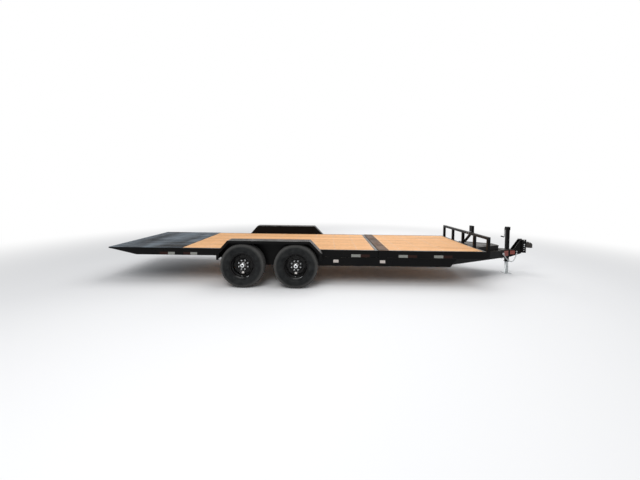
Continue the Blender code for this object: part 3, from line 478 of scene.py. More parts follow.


# The tail and the joint strip are raised-pattern floor plate: small lugs pressed crossways in
# turn, painted black. On the tail, blue-grey patches are partly scuffs where tracks and tyres climb on,
# partly a painted reflection of the sky. Brown dust from the boards lies on the strip.
SCUFF_AND_SHEEN_M = 0.30
floor_plates = {}
for name, dark, pale in (
    ("scuffed_floor_plate_sky_sheen", "#16191d", "#626b73"),
    ("dusty_floor_plate", "#39291d", "#69503f"),
):
    made, tree, shader = new_finish(name, dark, 0.52, specular=0.06)
    streaks = blotches(tree, SCUFF_AND_SHEEN_M, -0.4, 1.4, detail=9.0, stretch=(0.45, 2.0, 1.0))
    bands = blotches(tree, SCUFF_AND_SHEEN_M, -0.6, 1.6, detail=3.0, stretch=(0.75, 0.14, 1.0))
    scuffs_and_sheen = add(tree, "Mix", data_type="FLOAT", values={0: 0.5}, links={2: streaks, 3: bands})
    # on the tail the pale blue-grey is scuffing plus a painted sky reflection
    two_tones(tree, shader, dark, pale, scuffs_and_sheen.outputs[0])
    tree.links.new(blotches(tree, 0.15, 0.42, 0.64), shader.inputs["Roughness"])
    roughen(tree, shader, 0.004, 0.0005, 0.2)
    floor_plates[name] = made

LUG_PITCH = 0.034        # 25 mm in a real plate, wider here to keep the mesh light
LUG_HALF, LUG_WIDE, LUG_HIGH = 0.0125, 0.0042, 0.0016
PLATE_EDGE = 0.006


def lug(shape, centre, along, across, up):
    """One raised lug: a low six-sided ridge."""
    base = [centre + along * a * LUG_HALF + across * b * LUG_WIDE
            for a, b in ((1, 0), (0.35, 1), (-0.35, 1), (-1, 0), (-0.35, -1), (0.35, -1))]
    top = [centre + (p - centre) * 0.55 + up * LUG_HIGH for p in base]
    skin(shape, [[shape.verts.new(p) for p in ring] for ring in (base, top)])


def tread_field(shape, corner, edge_u, edge_v):
    """Lugs over a flat panel, turned left and right in turn."""
    corner, edge_u, edge_v = Vector(corner), Vector(edge_u), Vector(edge_v)
    u, v = edge_u.normalized(), edge_v.normalized()
    up = u.cross(v)
    many_u, many_v = int(edge_u.length / LUG_PITCH), int(edge_v.length / LUG_PITCH)
    for i in range(many_u):
        for j in range(many_v):
            centre = corner + edge_u * ((i + 0.5) / many_u) + edge_v * ((j + 0.5) / many_v)
            turn = 1 if (i + j) % 2 else -1
            lug(shape, centre, (u + v * turn).normalized(), (v - u * turn).normalized(), up)


for node, name, body, steel in (
    ("tail_chequer_plate", "tail_tread_lugs", "tilt_deck", "scuffed_floor_plate_sky_sheen"),
    ("joint_strip", "joint_tread_lugs", "chassis", "dusty_floor_plate"),
):
    low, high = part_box(node)
    lugs = bmesh.new()
    tread_field(lugs, (low.x + PLATE_EDGE, low.y + PLATE_EDGE, high.z),
                (high.x - low.x - 2 * PLATE_EDGE, 0, 0), (0, high.y - low.y - 2 * PLATE_EDGE, 0))
    piece(name, lugs, floor_plates[steel], body, smooth=20)
    dress(floor_plates[steel], 0.001, node)


# Radial trailer tyres: moulded black rubber with a rim rib, sidewall rings, four zigzag grooves
# and notched shoulders. Dry dust greys them.
rubber, tree, shader = new_finish("moulded_tyre_rubber", "#1b1c1d", 0.80, specular=0.12)
tint = add(tree, "Mix", data_type="RGBA", values={6: linear("#18191a"), 7: linear("#2c2d2d")},
           links={0: blotches(tree, 0.09, detail=6.0)})
worn = add(tree, "Attribute", attribute_name="road_dust")
dusty = add(tree, "Mix", data_type="RGBA", values={7: linear("#5c5b59")},
            links={0: worn.outputs["Fac"], 6: tint.outputs[2]})
tree.links.new(dusty.outputs[2], shader.inputs["Base Color"])
roughen(tree, shader, 0.003, 0.0003, 0.15)

TYRE_HALF = (  # radius and half width, in mm, from the bead to the tread's middle
    (203.8, 76.8), (222.3, 84.3), (223.8, 92.5), (227, 100.5), (232, 104.6), (237.5, 105.2),
    (241.5, 103), (244, 102.4), (261, 110.2), (263, 113.2), (268, 114), (270.5, 111.8),
    (290, 116.4), (312, 115.6), (323, 113.8), (325, 117.2), (331, 116.8), (333.5, 112.4),
    (346, 110), (352, 110.6), (362, 105.6), (372, 99), (379, 92), (382.4, 84),
    (383.6, 70), (383.8, 64), (376, 62), (376, 56.5), (384.3, 54.5), (384.6, 42),
    (384.6, 28.5), (376.5, 26.5), (376.5, 21), (385, 19), (385, 8),
)
TYRE_PITCHES = 64
PITCH_CUTS = (0.0, 0.28, 0.36, 0.64, 0.92)     # each pitch is notched from 0.36 to 0.64 of its length
NOTCH, NOTCH_NARROW, ZIGZAG = 0.0065, 0.985, 0.0024
SWAY_A_CUT = 1.2566                            # radians
SHOULDER_R, SHOULDER_Y, GROOVE_R = 0.350, 0.066, 0.372
GROOVE_Y = (0.015, 0.0645)                     # the grooves lie between these half widths
DUST_R, DUST_DEEP, DUST_MOST = 0.318, 0.045, 0.62


def turn_round(shape, profile, angles, bend=None):
    """Turns a closed (radius, width) profile round the Y axis; bend may move a point by its angle."""
    rings = []
    for k, angle in enumerate(angles):
        line = [bend(r, w, k) if bend else (r, w) for r, w in profile]
        rings.append([shape.verts.new((r * cos(angle), w, r * sin(angle))) for r, w in line])
    skin(shape, rings, around=True)


def even(count, first=0.0):
    """Angles evenly spaced round a circle."""
    return [first + 2 * pi * k / count for k in range(count)]


def metres(profile):
    """A profile in mm as metres."""
    return [(r / 1000, w / 1000) for r, w in profile]


def tyre_bend(r, w, k):
    """Cuts the shoulder notches and sways the grooves."""
    part = k % len(PITCH_CUTS)
    if part in (2, 3) and r > SHOULDER_R and abs(w) > SHOULDER_Y:
        r, w = r - NOTCH, w * NOTCH_NARROW
    if GROOVE_Y[0] < abs(w) < GROOVE_Y[1] and r > GROOVE_R:
        w += ZIGZAG * sin(pi * (k // len(PITCH_CUTS)) + part * SWAY_A_CUT)
    return r, w


tyre_profile = metres(TYRE_HALF) + [(r, -w) for r, w in reversed(metres(TYRE_HALF))]
tyre_angles = [2 * pi * (p + c) / TYRE_PITCHES for p in range(TYRE_PITCHES) for c in PITCH_CUTS]
CORNERS = [f"{place}_{side}" for place in ("rear", "front") for side in ("left", "right")]


def wheel_piece(name, node, maker, finish, replaces=True, **looks):
    """A piece built round the Y axis and set on a wheel's own axle line, its face outward."""
    where = node.split("_", 1)[1]
    low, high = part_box(f"tyre_{where}")
    outward = 1 if where.endswith("left") else -1
    shape = bmesh.new()
    maker(shape)
    for vert in shape.verts:
        vert.co = (low + high) / 2 + Vector((vert.co.x, vert.co.y * outward, vert.co.z))
    made = piece(name, shape, finish, f"wheel_{where}", **looks)
    if replaces:
        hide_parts(node)
    return made


def tyre_shape(shape):
    """The tyre, with the dust that the tread and the shoulders pick up."""
    turn_round(shape, tyre_profile, tyre_angles, tyre_bend)
    dust = shape.verts.layers.float.new("road_dust")
    for vert in shape.verts:
        reach = hypot(vert.co.x, vert.co.z)
        vert[dust] = DUST_MOST * min(1.0, max(0.0, (reach - DUST_R) / DUST_DEEP))


for where in CORNERS:
    wheel_piece(f"trailer_tyre_{where}", f"tyre_{where}", tyre_shape, rubber, smooth=32)


# Pressed steel wheels: a drop-centre rim and a dished disc with eight hand holes. Chromed
# lug nuts, a valve with a bright cap and a clip-on balance weight stand on them, and a small
# blank foil label is stuck under the hub. The label's pale face is also a painted highlight on the dish
# there.

# Gloss black powder coat is smooth and mirrors the ground softly, under a film of dust.
powder, tree, shader = new_finish("gloss_black_powder_coat", "#060607", 0.16, specular=0.18)
tree.links.new(blotches(tree, 0.06, 0.10, 0.32), shader.inputs["Roughness"])
two_tones(tree, shader, "#040405", "#100f0f", blotches(tree, 0.08))

RIM_SECTION = (  # radius and width from the wheel's middle, in mm
    (221.5, 90), (222, 87.5), (221, 84.8), (216, 81.5), (207, 78.6), (203.5, 76.5),
    (203.3, 50), (201, 45.5), (185, 31.5), (182, 28), (182, -23), (185, -27),
    (201, -43.5), (203.3, -48), (203.5, -76.5), (207, -78.6), (216, -81.5), (221, -84.8),
    (222, -87.5), (221.5, -90), (214, -86.5), (199, -77), (197, -72), (195, -48),
    (177, -26), (173, -12), (168, -5), (160, -4), (66, -4), (64, -2.5),
    (64, 2.5), (66, 4), (98, 4), (106, 6.5), (114, 13), (126, 21.5), (134, 24.5),
    (150, 24.5), (160, 22), (170, 17), (174.5, 17.5), (176, 21), (176.5, 29),
    (180, 35.5), (193, 45), (197, 50), (198, 56), (198, 72), (200, 77.5),
    (214, 86.5),
)
HAND_HOLES, HAND_HOLE_R, HAND_HOLE_CIRCLE = 8, 0.0125, 0.148
HAND_HOLE_LEAN = 0.07    # half the turn, in radians, between a slot's round ends
LUG_NUTS, LUG_CIRCLE = 8, 0.0825

slots = bmesh.new()
for turn in even(HAND_HOLES, pi / HAND_HOLES):
    edge = []
    for a in even(20, pi / 20):
        r = HAND_HOLE_CIRCLE + HAND_HOLE_R * sin(a)
        lean = copysign(HAND_HOLE_LEAN, cos(a))
        swing = turn + lean + HAND_HOLE_R / HAND_HOLE_CIRCLE * cos(a)
        edge.append((r * cos(swing), r * sin(swing)))
    skin(slots, [[slots.verts.new((x, y, z)) for x, z in edge] for y in (-0.05, 0.07)])
bmesh.ops.recalc_face_normals(slots, faces=slots.faces)
hand_holes = mesh_of("hand_holes", slots)


def cut_from(made, mesh, centre=(0, 0, 0)):
    """Cuts a mesh out of a piece for good."""
    cutter = put("cutter", mesh)
    cutter.location = centre
    change = made.modifiers.new("holes", "BOOLEAN")
    change.operation = "DIFFERENCE"
    change.solver = "EXACT"
    change.use_self = True
    change.object = cutter
    bpy.context.view_layer.update()
    cut = made.evaluated_get(bpy.context.evaluated_depsgraph_get())
    result = bpy.data.meshes.new_from_object(cut)
    made.modifiers.remove(change)
    clean = bmesh.new()
    clean.from_mesh(result)
    bmesh.ops.remove_doubles(clean, verts=clean.verts, dist=SAME_POINT)
    bmesh.ops.dissolve_degenerate(clean, edges=clean.edges, dist=SAME_POINT)
    clean.to_mesh(result)
    clean.free()
    made.data = result
    result.shade_smooth()
    result.set_sharp_from_angle(angle=radians(35))
    bpy.data.objects.remove(cutter)


def dish_shape(shape):
    """Rim and disc in one."""
    turn_round(shape, metres(RIM_SECTION), even(96))


def lug_nuts(shape):
    """Bulged nuts on flanged seats."""
    for turn in even(LUG_NUTS, pi / LUG_NUTS):
        x, z = LUG_CIRCLE * cos(turn), LUG_CIRCLE * sin(turn)
        disc(shape, (x, 0.0035, z), 0.0150, 0.005, 20, axis=(0, 1, 0), tip=0.82)
        disc(shape, (x, 0.0080, z), 0.0122, 0.0135, 6, axis=(0, 1, 0))
        disc(shape, (x, 0.0214, z), 0.0108, 0.0056, 12, axis=(0, 1, 0), tip=0.45)


def valve_stem(shape):
    """The rubber stem below the hub, leaning inwards."""
    tube(shape, [(0, 0.050, -0.190), (0, 0.060, -0.187), (0, 0.074, -0.181)],
         [0.0066, 0.0060, 0.0048], 10)


def valve_cap(shape):
    """The bright cap on the stem."""
    tube(shape, [(0, 0.073, -0.1815), (0, 0.075, -0.1805), (0, 0.087, -0.1760), (0, 0.089, -0.1752)],
         [0.0050, 0.0058, 0.0056, 0.0040], 10)


def balance_weight(shape):
    """A short bar clipped on the rim's edge."""
    arc = [radians(a) for a in range(292, 305, 3)]
    tube(shape, [(0.2095 * cos(a), 0.0850, 0.2095 * sin(a)) for a in arc], 0.0036, 6)


LABEL_LINE = ((116, 14.6), (126, 21.7), (134, 24.7), (146, 24.7))     # on the disc's slope, in mm
LABEL_HALF_DEG, LABEL_SKIN = 8, 0.0005


def label_and_highlight_patch(shape):
    """A thin patch bent over the disc below the hub."""
    rows = []
    for k in range(7):
        a = radians(-90 + LABEL_HALF_DEG * (k / 3 - 1))
        under = metres(LABEL_LINE)
        line = [(r, w + LABEL_SKIN) for r, w in under] + under[::-1]
        rows.append([shape.verts.new((r * cos(a), w, r * sin(a))) for r, w in line])
    skin(shape, rows)


# Printed-label foil, here without print: pale satin grey. Its paleness is partly a painted highlight on the
# dish below the hub.
foil_and_highlight, tree, shader = new_finish("foil_label_painted_highlight", "#d9d4cf", 0.35)
two_tones(tree, shader, "#c4bdb6", "#ece8e4", blotches(tree, 0.01))

# Polished chrome shows the sky and the ground almost as a mirror.
chrome, tree, shader = new_finish("polished_chrome", "#dfe1e2", 0.10, metallic=1.0)
tree.links.new(blotches(tree, 0.025, 0.05, 0.22), shader.inputs["Roughness"])

for where in CORNERS:
    node = f"rim_{where}"
    low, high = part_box(f"tyre_{where}")
    rim = wheel_piece(f"dish_wheel_{where}", node, dish_shape, powder, smooth=35)
    cut_from(rim, hand_holes, (low + high) / 2)
    for name, maker, finish in (
        ("lug_nuts", lug_nuts, chrome),
        ("valve_stem", valve_stem, rubber),
        ("valve_cap", valve_cap, chrome),
        ("wheel_label_highlight", label_and_highlight_patch, foil_and_highlight),
        ("balance_weight", balance_weight, zinc),
    ):
        wheel_piece(f"{name}_{where}", node, maker, finish, replaces=False)


# The hub stands through the disc, with the brake drum behind it and a pressed bright cap that
# has a black rubber grease plug in its middle.
HUB_BODY = (  # radius and width, in mm, as in the next two
    (26, -62), (50, -62), (50, -18.5), (56, -18.5), (149, -18.5), (149, -85), (151, -86), (158, -86),
    (160, -84), (160, -12), (156, -5), (150, -4.3), (62, -4.3), (60, -3), (60, 26), (58, 29.5),
    (43, 31.5), (38, 31.5), (26, 31.5),
)
HUB_CAP = (
    (38.5, 28), (44, 28), (44, 33), (41, 35), (40, 38), (39.4, 68), (38, 73),
    (34, 77.5), (27, 80.4), (16, 81.4), (15.2, 80.4), (15.2, 60), (30, 58),
)
CAP_PLUG = ((0.4, 60), (15, 60), (15, 79), (14, 80.5), (6, 81.4), (0.4, 81.6))

# Painted sand casting: satin black over a fine grain.
cast_iron, tree, shader = new_finish("painted_cast_iron", "#121213", 0.52, specular=0.3)
two_tones(tree, shader, "#151414", "#3a3532", blotches(tree, 0.03))
roughen(tree, shader, 0.0022, 0.0006, 0.4)

for where in CORNERS:
    for name, profile, steps, finish, main in (
        ("brake_drum", HUB_BODY, 64, cast_iron, True),
        ("hub_cap", HUB_CAP, 40, chrome, False),
        ("grease_plug", CAP_PLUG, 24, rubber, False),
    ):
        wheel_piece(f"{name}_{where}", f"hub_{where}",
                    lambda shape: turn_round(shape, metres(profile), even(steps)), finish, replaces=main)


# Torsion axles: square tube with a rubber-sprung arm at each end, bolted to a bracket under the
# main rail. Each brake's pressed backing plate is held to the arm by four bolts.
def bolt(shape, spot, axis, size):
    """A washer and a hexagon head of a thread size, standing on a face."""
    axis = Vector(axis).normalized()
    disc(shape, spot, size * 1.12, size * 0.18, 16, axis=axis)
    disc(shape, Vector(spot) + axis * size * 0.17, size * 0.90, size * 0.52, 6, axis=axis)
    disc(shape, Vector(spot) + axis * size * 0.68, size * 0.84, size * 0.12, 12, axis=axis, tip=0.80)


dress(enamel, 0.003, "axle_front", "axle_rear")
PLATE_IN, PLATE_BOLTS_R = 0.0985, 0.062     # the arm's face inboard of the wheel's middle
BRACKET_X, BRACKET_Y, BRACKET_Z, BRACKET_BOLT_HALF = 0.1615, 0.990, 0.352, 0.042
axle_bolts = bmesh.new()
for place in ("front", "rear"):
    low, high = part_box(f"tyre_{place}_left")
    centre = (low + high) / 2
    for sign in (1, -1):
        for turn in even(4, 0.78):
            x, z = centre.x + PLATE_BOLTS_R * cos(turn), centre.z + PLATE_BOLTS_R * sin(turn)
            bolt(axle_bolts, (x, sign * (centre.y - PLATE_IN), z), (0, -sign, 0), 0.0095)
        for dx in (-BRACKET_BOLT_HALF, BRACKET_BOLT_HALF):
            spot = (centre.x + BRACKET_X + dx, sign * BRACKET_Y, BRACKET_Z)
            bolt(axle_bolts, spot, (0, -sign, 0), 0.011)
piece("axle_bolts", axle_bolts, zinc, "chassis")


# Drive-over fenders are folded from tread plate: a flat top with sloping ends, a turned-down
# lip outside and a back plate welded to the main rail.
SIDES = (("left", 1), ("right", -1))
SLOPE_DROP, REAR_SLOPE, FRONT_SLOPE = 0.215, 0.190, 0.210
KNEE_CLEAR, SEAM_IN = 0.012, 0.007
BACK_WELD_X, BACK_WELD_DOWN = (0.06, 0.30), 0.030
for side, sign in SIDES:
    low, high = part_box(f"fender_{side}")
    inner = low.y if sign > 0 else high.y
    foot = high.z - SLOPE_DROP
    knees = ((low.x, foot), (low.x + REAR_SLOPE, high.z), (high.x - FRONT_SLOPE, high.z), (high.x, foot))
    lugs, seams = bmesh.new(), bmesh.new()
    for (x0, z0), (x1, z1) in zip(knees, knees[1:]):
        panel = Vector((x1 - x0, 0, z1 - z0))
        clear = panel.normalized() * KNEE_CLEAR
        tread_field(lugs, Vector((x0, low.y + PLATE_EDGE, z0)) + clear, panel - 2 * clear,
                    (0, high.y - low.y - 2 * PLATE_EDGE, 0))
        bead(seams, *[(x, inner + sign * SEAM_IN, z - SEAM_IN) for x, z in ((x0, z0), (x1, z1))])
    bead(seams, *[(low.x + x, inner + sign * 0.001, rail_high.z - BACK_WELD_DOWN) for x in BACK_WELD_X])
    piece(f"fender_lugs_{side}", lugs, enamel, "chassis", smooth=20)
    piece(f"fender_welds_{side}", seams, enamel, "chassis")
    dress(enamel, 0.0015, f"fender_{side}")


# Oval tail lamps: a red ribbed lens with its diodes behind it, pushed into a black rubber ring
# on the fender's rear face. The lens is gloss acrylic.
OVAL_HALF, DIODE_PITCH, DIODE_ROW = 0.054, 0.024, 0.009
lens_red, tree, shader = new_finish("red_acrylic_lens", "#a30d14", 0.14, coat=0.4)
two_tones(tree, shader, "#7c070c", "#bc1a20", blotches(tree, 0.012))


def oval(x, centre, radius, steps=10):
    """Points round a level oval that faces the rear."""
    return [Vector((x, centre.y + s * OVAL_HALF + radius * cos(a), centre.z + radius * sin(a)))
            for s, first in ((1, -pi / 2), (-1, pi / 2))
            for a in [first + pi * k / steps for k in range(steps + 1)]]


for side, sign in SIDES:
    low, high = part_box(f"tail_lamp_{side}")
    centre = (low + high) / 2
    ring = bmesh.new()
    tube(ring, oval(high.x - 0.006, centre, 0.0285), 0.0050, 8, closed=True)
    piece(f"lamp_ring_{side}", ring, rubber, "chassis")
    lens = bmesh.new()
    levels = ((high.x, 0.0275), (low.x + 0.006, 0.0270), (low.x + 0.002, 0.0245), (low.x, 0.0200))
    skin(lens, [[lens.verts.new(p) for p in oval(x, centre, r)] for x, r in levels])
    for k in range(5):
        for row in (-DIODE_ROW, DIODE_ROW):
            spot = (low.x + 0.0008, centre.y + (k - 2) * DIODE_PITCH, centre.z + row)
            disc(lens, spot, 0.0065, 0.0016, 12, axis=(-1, 0, 0), tip=0.6)
    made = piece(f"oval_lens_{side}", lens, lens_red, "chassis")
    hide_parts(f"tail_lamp_{side}")


# The headboard is square tube, five posts under one rail, bolted to the deck's front channel.
# Pressed plastic caps close its ends. The spare wheel's upright is held to it by a U-bolt.
dress(enamel, 0.004, "headboard", "spare_carrier")
head_low, head_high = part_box("headboard")
carrier_low, carrier_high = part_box("spare_carrier")
POST = head_high.x - head_low.x
POST_PITCH = (head_high.y - head_low.y - POST) / 4
POST_BOLTS_Z = (0.552, 0.602)
WELD_END, CAP = 0.004, 0.003
CARRIER_HALF, U_BOLT_HALF, U_BOLT_R = 0.055, 0.034, 0.0042
head_welds, head_bolts, caps = bmesh.new(), bmesh.new(), bmesh.new()
rail_under = head_high.z - POST
for i in range(5):
    y = head_low.y + i * POST_PITCH
    for edge in (y, y + POST):
        if head_low.y < edge < head_high.y:
            bead(head_welds, (head_low.x + WELD_END, edge, rail_under - 0.001),
                 (head_high.x - WELD_END, edge, rail_under - 0.001))
    bead(head_welds, (head_high.x - 0.001, y + WELD_END, rail_under + 0.001),
         (head_high.x - 0.001, y + POST - WELD_END, rail_under + 0.001))
    for z in POST_BOLTS_Z:
        bolt(head_bolts, (head_high.x, y + POST / 2, z), (1, 0, 0), 0.0085)
for sign in (1, -1):
    end = sign * head_high.y
    box(caps, (head_low.x + CAP, end, rail_under + CAP),
        (head_high.x - CAP, end + sign * CAP, head_high.z - CAP))
over, back = head_high.z + 0.0055, head_low.x - 0.0045
for dy in (-U_BOLT_HALF, U_BOLT_HALF):
    y = carrier_low.y + CARRIER_HALF + dy
    bolt(head_bolts, (carrier_high.x, y, rail_under - 0.001), (1, 0, 0), 0.0080)
    tube(head_bolts, [(carrier_high.x + 0.010, y, over), (head_low.x - 0.001, y, over),
                      (back, y, head_high.z + 0.002), (back, y, rail_under - 0.002)], U_BOLT_R, 8)
    bolt(head_bolts, (carrier_high.x, y, over), (1, 0, 0), 0.0080)
piece("headboard_welds", head_welds, enamel, "chassis")
piece("headboard_bolts", head_bolts, zinc, "chassis")
piece("tube_end_caps", caps, rubber, "chassis", bevel=0.0012)


# The tongue's nose carries a channel with a row of height holes in each flange. The cast ball
# coupler is pinned across it by two long bolts, and its latch lies flat on top.
dress(cast_iron, 0.002, "ball_coupler")
dress(enamel, 0.0015, "tongue_gusset")
channel_low, channel_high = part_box("coupler_channel")
ball_low, ball_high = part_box("ball_coupler")
HOLE_PITCH, HOLE_R, HOLE_LINE = 0.042, 0.0085, 0.215
BALL_BOLT_UP = 0.052                     # the coupler's middle above its lowest point


def solid_shape(node):
    """The shape of a CAD solid that a piece replaces, with whole faces."""
    shape = bmesh.new()
    shape.from_mesh(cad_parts[node].data)
    bmesh.ops.remove_doubles(shape, verts=shape.verts, dist=SAME_POINT)
    bmesh.ops.dissolve_limit(shape, angle_limit=0.01, verts=shape.verts, edges=shape.edges)
    return shape


flange_x = channel_low.x + HOLE_LINE
hole_z = [ball_low.z + BALL_BOLT_UP + HOLE_PITCH * (k + 0.5) for k in range(-3, 3)]
drills = bmesh.new()
for z in hole_z:
    disc(drills, (flange_x, -0.2, z), HOLE_R, 0.4, 15, axis=(0, 1, 0))
made = piece("height_channel", solid_shape("coupler_channel"), enamel, "chassis")
cut_from(made, mesh_of("channel_holes", drills))
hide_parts("coupler_channel")

LATCH_HALF, LATCH_WIRE = 0.0135, 0.0036
LATCH_SIDE = (  # along and up from the ball's middle and the latch's top
    (-0.100, -0.012), (-0.060, -0.004), (-0.020, -0.004), (0.012, -0.016), (0.026, -0.018),
)
LATCH_BOW = ((0.026, -LATCH_HALF), (0.032, 0.0), (0.026, LATCH_HALF))
PIN_BACK, PIN_DOWN, RING_R = 0.070, 0.014, 0.013


def circle(x, y, z, radius, angles, pitch=0.0):
    """Points round a level line across the trailer, a pitch further to the left each turn."""
    return [(x + radius * cos(a), y + pitch * a / 2 / pi, z + radius * sin(a)) for a in angles]


fasteners = bmesh.new()
for z in hole_z[2:4]:
    for sign in (1, -1):
        bolt(fasteners, (flange_x, sign * channel_high.y, z), (0, sign, 0), 0.0125)
ball_x, latch_top = ball_high.x - 0.060, ball_high.z
for y in (-LATCH_HALF, LATCH_HALF):
    tube(fasteners, [(ball_x + dx, y, latch_top + dz) for dx, dz in LATCH_SIDE], LATCH_WIRE, 8)
tube(fasteners, [(ball_x + dx, y, latch_top + LATCH_SIDE[-1][1]) for dx, y in LATCH_BOW], LATCH_WIRE, 8)
pin_x, pin_z = ball_x - PIN_BACK, latch_top - PIN_DOWN
tube(fasteners, [(pin_x, -0.024, pin_z), (pin_x, 0.026, pin_z)], 0.0038, 8)
tube(fasteners, circle(pin_x, 0.027, pin_z - RING_R, RING_R, even(16)), 0.0013, 6, closed=True)
piece("coupler_fasteners", fasteners, zinc, "chassis")

NOSE_TOP, TONGUE_TOP = 0.5105, 0.5180
jack_low, jack_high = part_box("jack_tube")
jack_x = (jack_low.x + jack_high.x) / 2
JACK_HALF, JACK_SKIN = 0.032, 0.033
NOSE_WELDS = (  # forward of the channel's rear end, off the middle, and up: one on the nose, two on the web
    ((0.010, 0.155), 0.0555, (NOSE_TOP, NOSE_TOP)),
    ((0.1645, 0.1645), 0.0615, (channel_low.z + 0.010, 0.504)),
    ((0.1640, 0.1640), 0.0555, (0.530, channel_high.z - 0.022)),
)
tongue_welds = bmesh.new()
for sign in (1, -1):
    for line_x, y, line_z in NOSE_WELDS:
        bead(tongue_welds, *[(channel_low.x + x, sign * y, z) for x, z in zip(line_x, line_z)])
    for x, y in ((1, 0), (0, 1)):
        middle = Vector((jack_x + sign * y * JACK_SKIN, sign * x * JACK_SKIN, TONGUE_TOP))
        half = Vector((x * JACK_HALF, y * JACK_HALF, 0))
        bead(tongue_welds, middle - half, middle + half)
piece("tongue_welds", tongue_welds, enamel, "chassis")


# Safety chains: 9/32 in welded links in bright zinc, bolted to a tab on each tongue rail. The
# free end carries a forged hook that hangs in a bar loop beside the nose.
LINK_WIRE, LINK_INNER, LINK_HALF = 0.0036, 0.0235, 0.0084
CHAIN_SAG, CHAIN_BULGE, CHAIN_STEPS = 0.62, 0.050, 200
CHAIN_START, CHAIN_END = (0.022, 0.020, 0.432), (0.016, 0.076, 0.448)
TONGUE_LEAN, TONGUE_HALF = radians(27.4), 0.565     # the rails' slant, and their half spread aft
TAB_HALF, TAB_Z, TAB_BOLT_Z = 0.018, (0.420, 0.462), 0.442
TAB_BACK, TAB_FACE = 0.010, 0.016
HOOK = (  # forward, outward and up from the last link, with the bar's radius
    (0.0, -0.004, 0.0, 0.0040), (0.001, 0.0, 0.010, 0.0050), (0.008, 0.0, 0.022, 0.0056),
    (0.003, 0.0, 0.036, 0.0058), (-0.009, 0.0, 0.039, 0.0052), (-0.015, 0.0, 0.028, 0.0044),
    (-0.012, 0.0, 0.020, 0.0028),
)
HOOK_LOOP = (  # forward of the hook, outward from the nose's middle, and up
    (-0.014, 0.0605, 0.478), (-0.014, 0.074, 0.480), (-0.008, 0.080, 0.481),
    (0.006, 0.080, 0.481), (0.012, 0.074, 0.480), (0.012, 0.0605, 0.478),
)


def link(shape, centre, along, across):
    """One oval link, drawn out along the chain."""
    reach = LINK_INNER / 2 - LINK_HALF + LINK_WIRE
    points = []
    for s in (1, -1):
        for k in range(7):
            a = -pi / 2 + pi * k / 6
            forward = along * (reach + LINK_HALF * cos(a))
            points.append(centre + s * (forward + across * LINK_HALF * sin(a)))
    tube(shape, points, LINK_WIRE, 6, closed=True)


def tongue_face(x):
    """How far a tongue rail's outer face stands off the middle line."""
    return TONGUE_HALF - tan(TONGUE_LEAN) * (x - head_low.x)


for side, sign in SIDES:
    low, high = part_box(f"safety_chain_{side}")
    tab_x, hook_x = low.x + CHAIN_START[0], high.x - CHAIN_END[0]
    rail_y = sign * tongue_face(tab_x)
    start = Vector((tab_x, rail_y + sign * CHAIN_START[1], CHAIN_START[2]))
    end = Vector((hook_x, sign * CHAIN_END[1], CHAIN_END[2]))
    path = []
    for i in range(CHAIN_STEPS + 1):
        t = i / CHAIN_STEPS
        spot = start.lerp(end, t)
        spot.z -= CHAIN_SAG * t * (1 - t)
        spot.y += sign * CHAIN_BULGE * sin(pi * t)
        path.append(spot)
    chain = bmesh.new()
    walked, count = 0.0, 0
    for a, b in zip(path, path[1:]):
        walked += (b - a).length
        if walked >= LINK_INNER * (count + 0.5):
            along = (b - a).normalized()
            sideways = along.cross(Vector((0, 0, 1))).normalized()
            upright = along.cross(sideways)
            across = sideways + upright if count % 2 else sideways - upright
            link(chain, a, along, across.normalized())
            count += 1
    box(chain, (tab_x - TAB_HALF, rail_y + sign * TAB_BACK, TAB_Z[0]),
        (tab_x + TAB_HALF, rail_y + sign * TAB_FACE, TAB_Z[1]))
    bolt(chain, (tab_x, rail_y + sign * TAB_FACE, TAB_BOLT_Z), (0, sign, 0), 0.0095)
    tube(chain, [end + Vector((x, y * sign, z)) for x, y, z, _ in HOOK], [r for *_, r in HOOK], 8)
    tube(chain, [(hook_x + x, sign * y, z) for x, y, z in HOOK_LOOP], 0.0048, 8)
    made = piece(f"chain_links_{side}", chain, zinc, "chassis")
    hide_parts(f"safety_chain_{side}")


# A drop-leg jack: welded square tube with a gear head and a hand crank, and a zinc-plated inner
# leg on a wide foot. A spring pin through its holes holds the leg down.
dress(enamel, 0.003, "jack_tube")
dress(zinc, 0.002, "jack_crank")
LEG_WELD_OUT, LEG_WELD_HALF, FOOT_TOP = 0.0275, 0.025, 0.012
LEG_HOLE_R, LEG_HOLE_FIRST, LEG_HOLE_PITCH = 0.0078, 0.075, 0.045
leg_shape = solid_shape("jack_leg")
for x, y in ((1, 0), (-1, 0), (0, 1), (0, -1)):
    middle = Vector((jack_x + x * LEG_WELD_OUT, y * LEG_WELD_OUT, FOOT_TOP))
    half = Vector((y, x, 0)) * LEG_WELD_HALF
    bead(leg_shape, middle - half, middle + half)
leg = piece("drop_leg", leg_shape, zinc, "jack_leg_body")
drills = bmesh.new()
for k in range(4):
    spot = (jack_x, -0.06, LEG_HOLE_FIRST + LEG_HOLE_PITCH * k)
    disc(drills, spot, LEG_HOLE_R, 0.12, 16, axis=(0, 1, 0))
cut_from(leg, mesh_of("leg_holes", drills))
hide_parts("jack_leg")

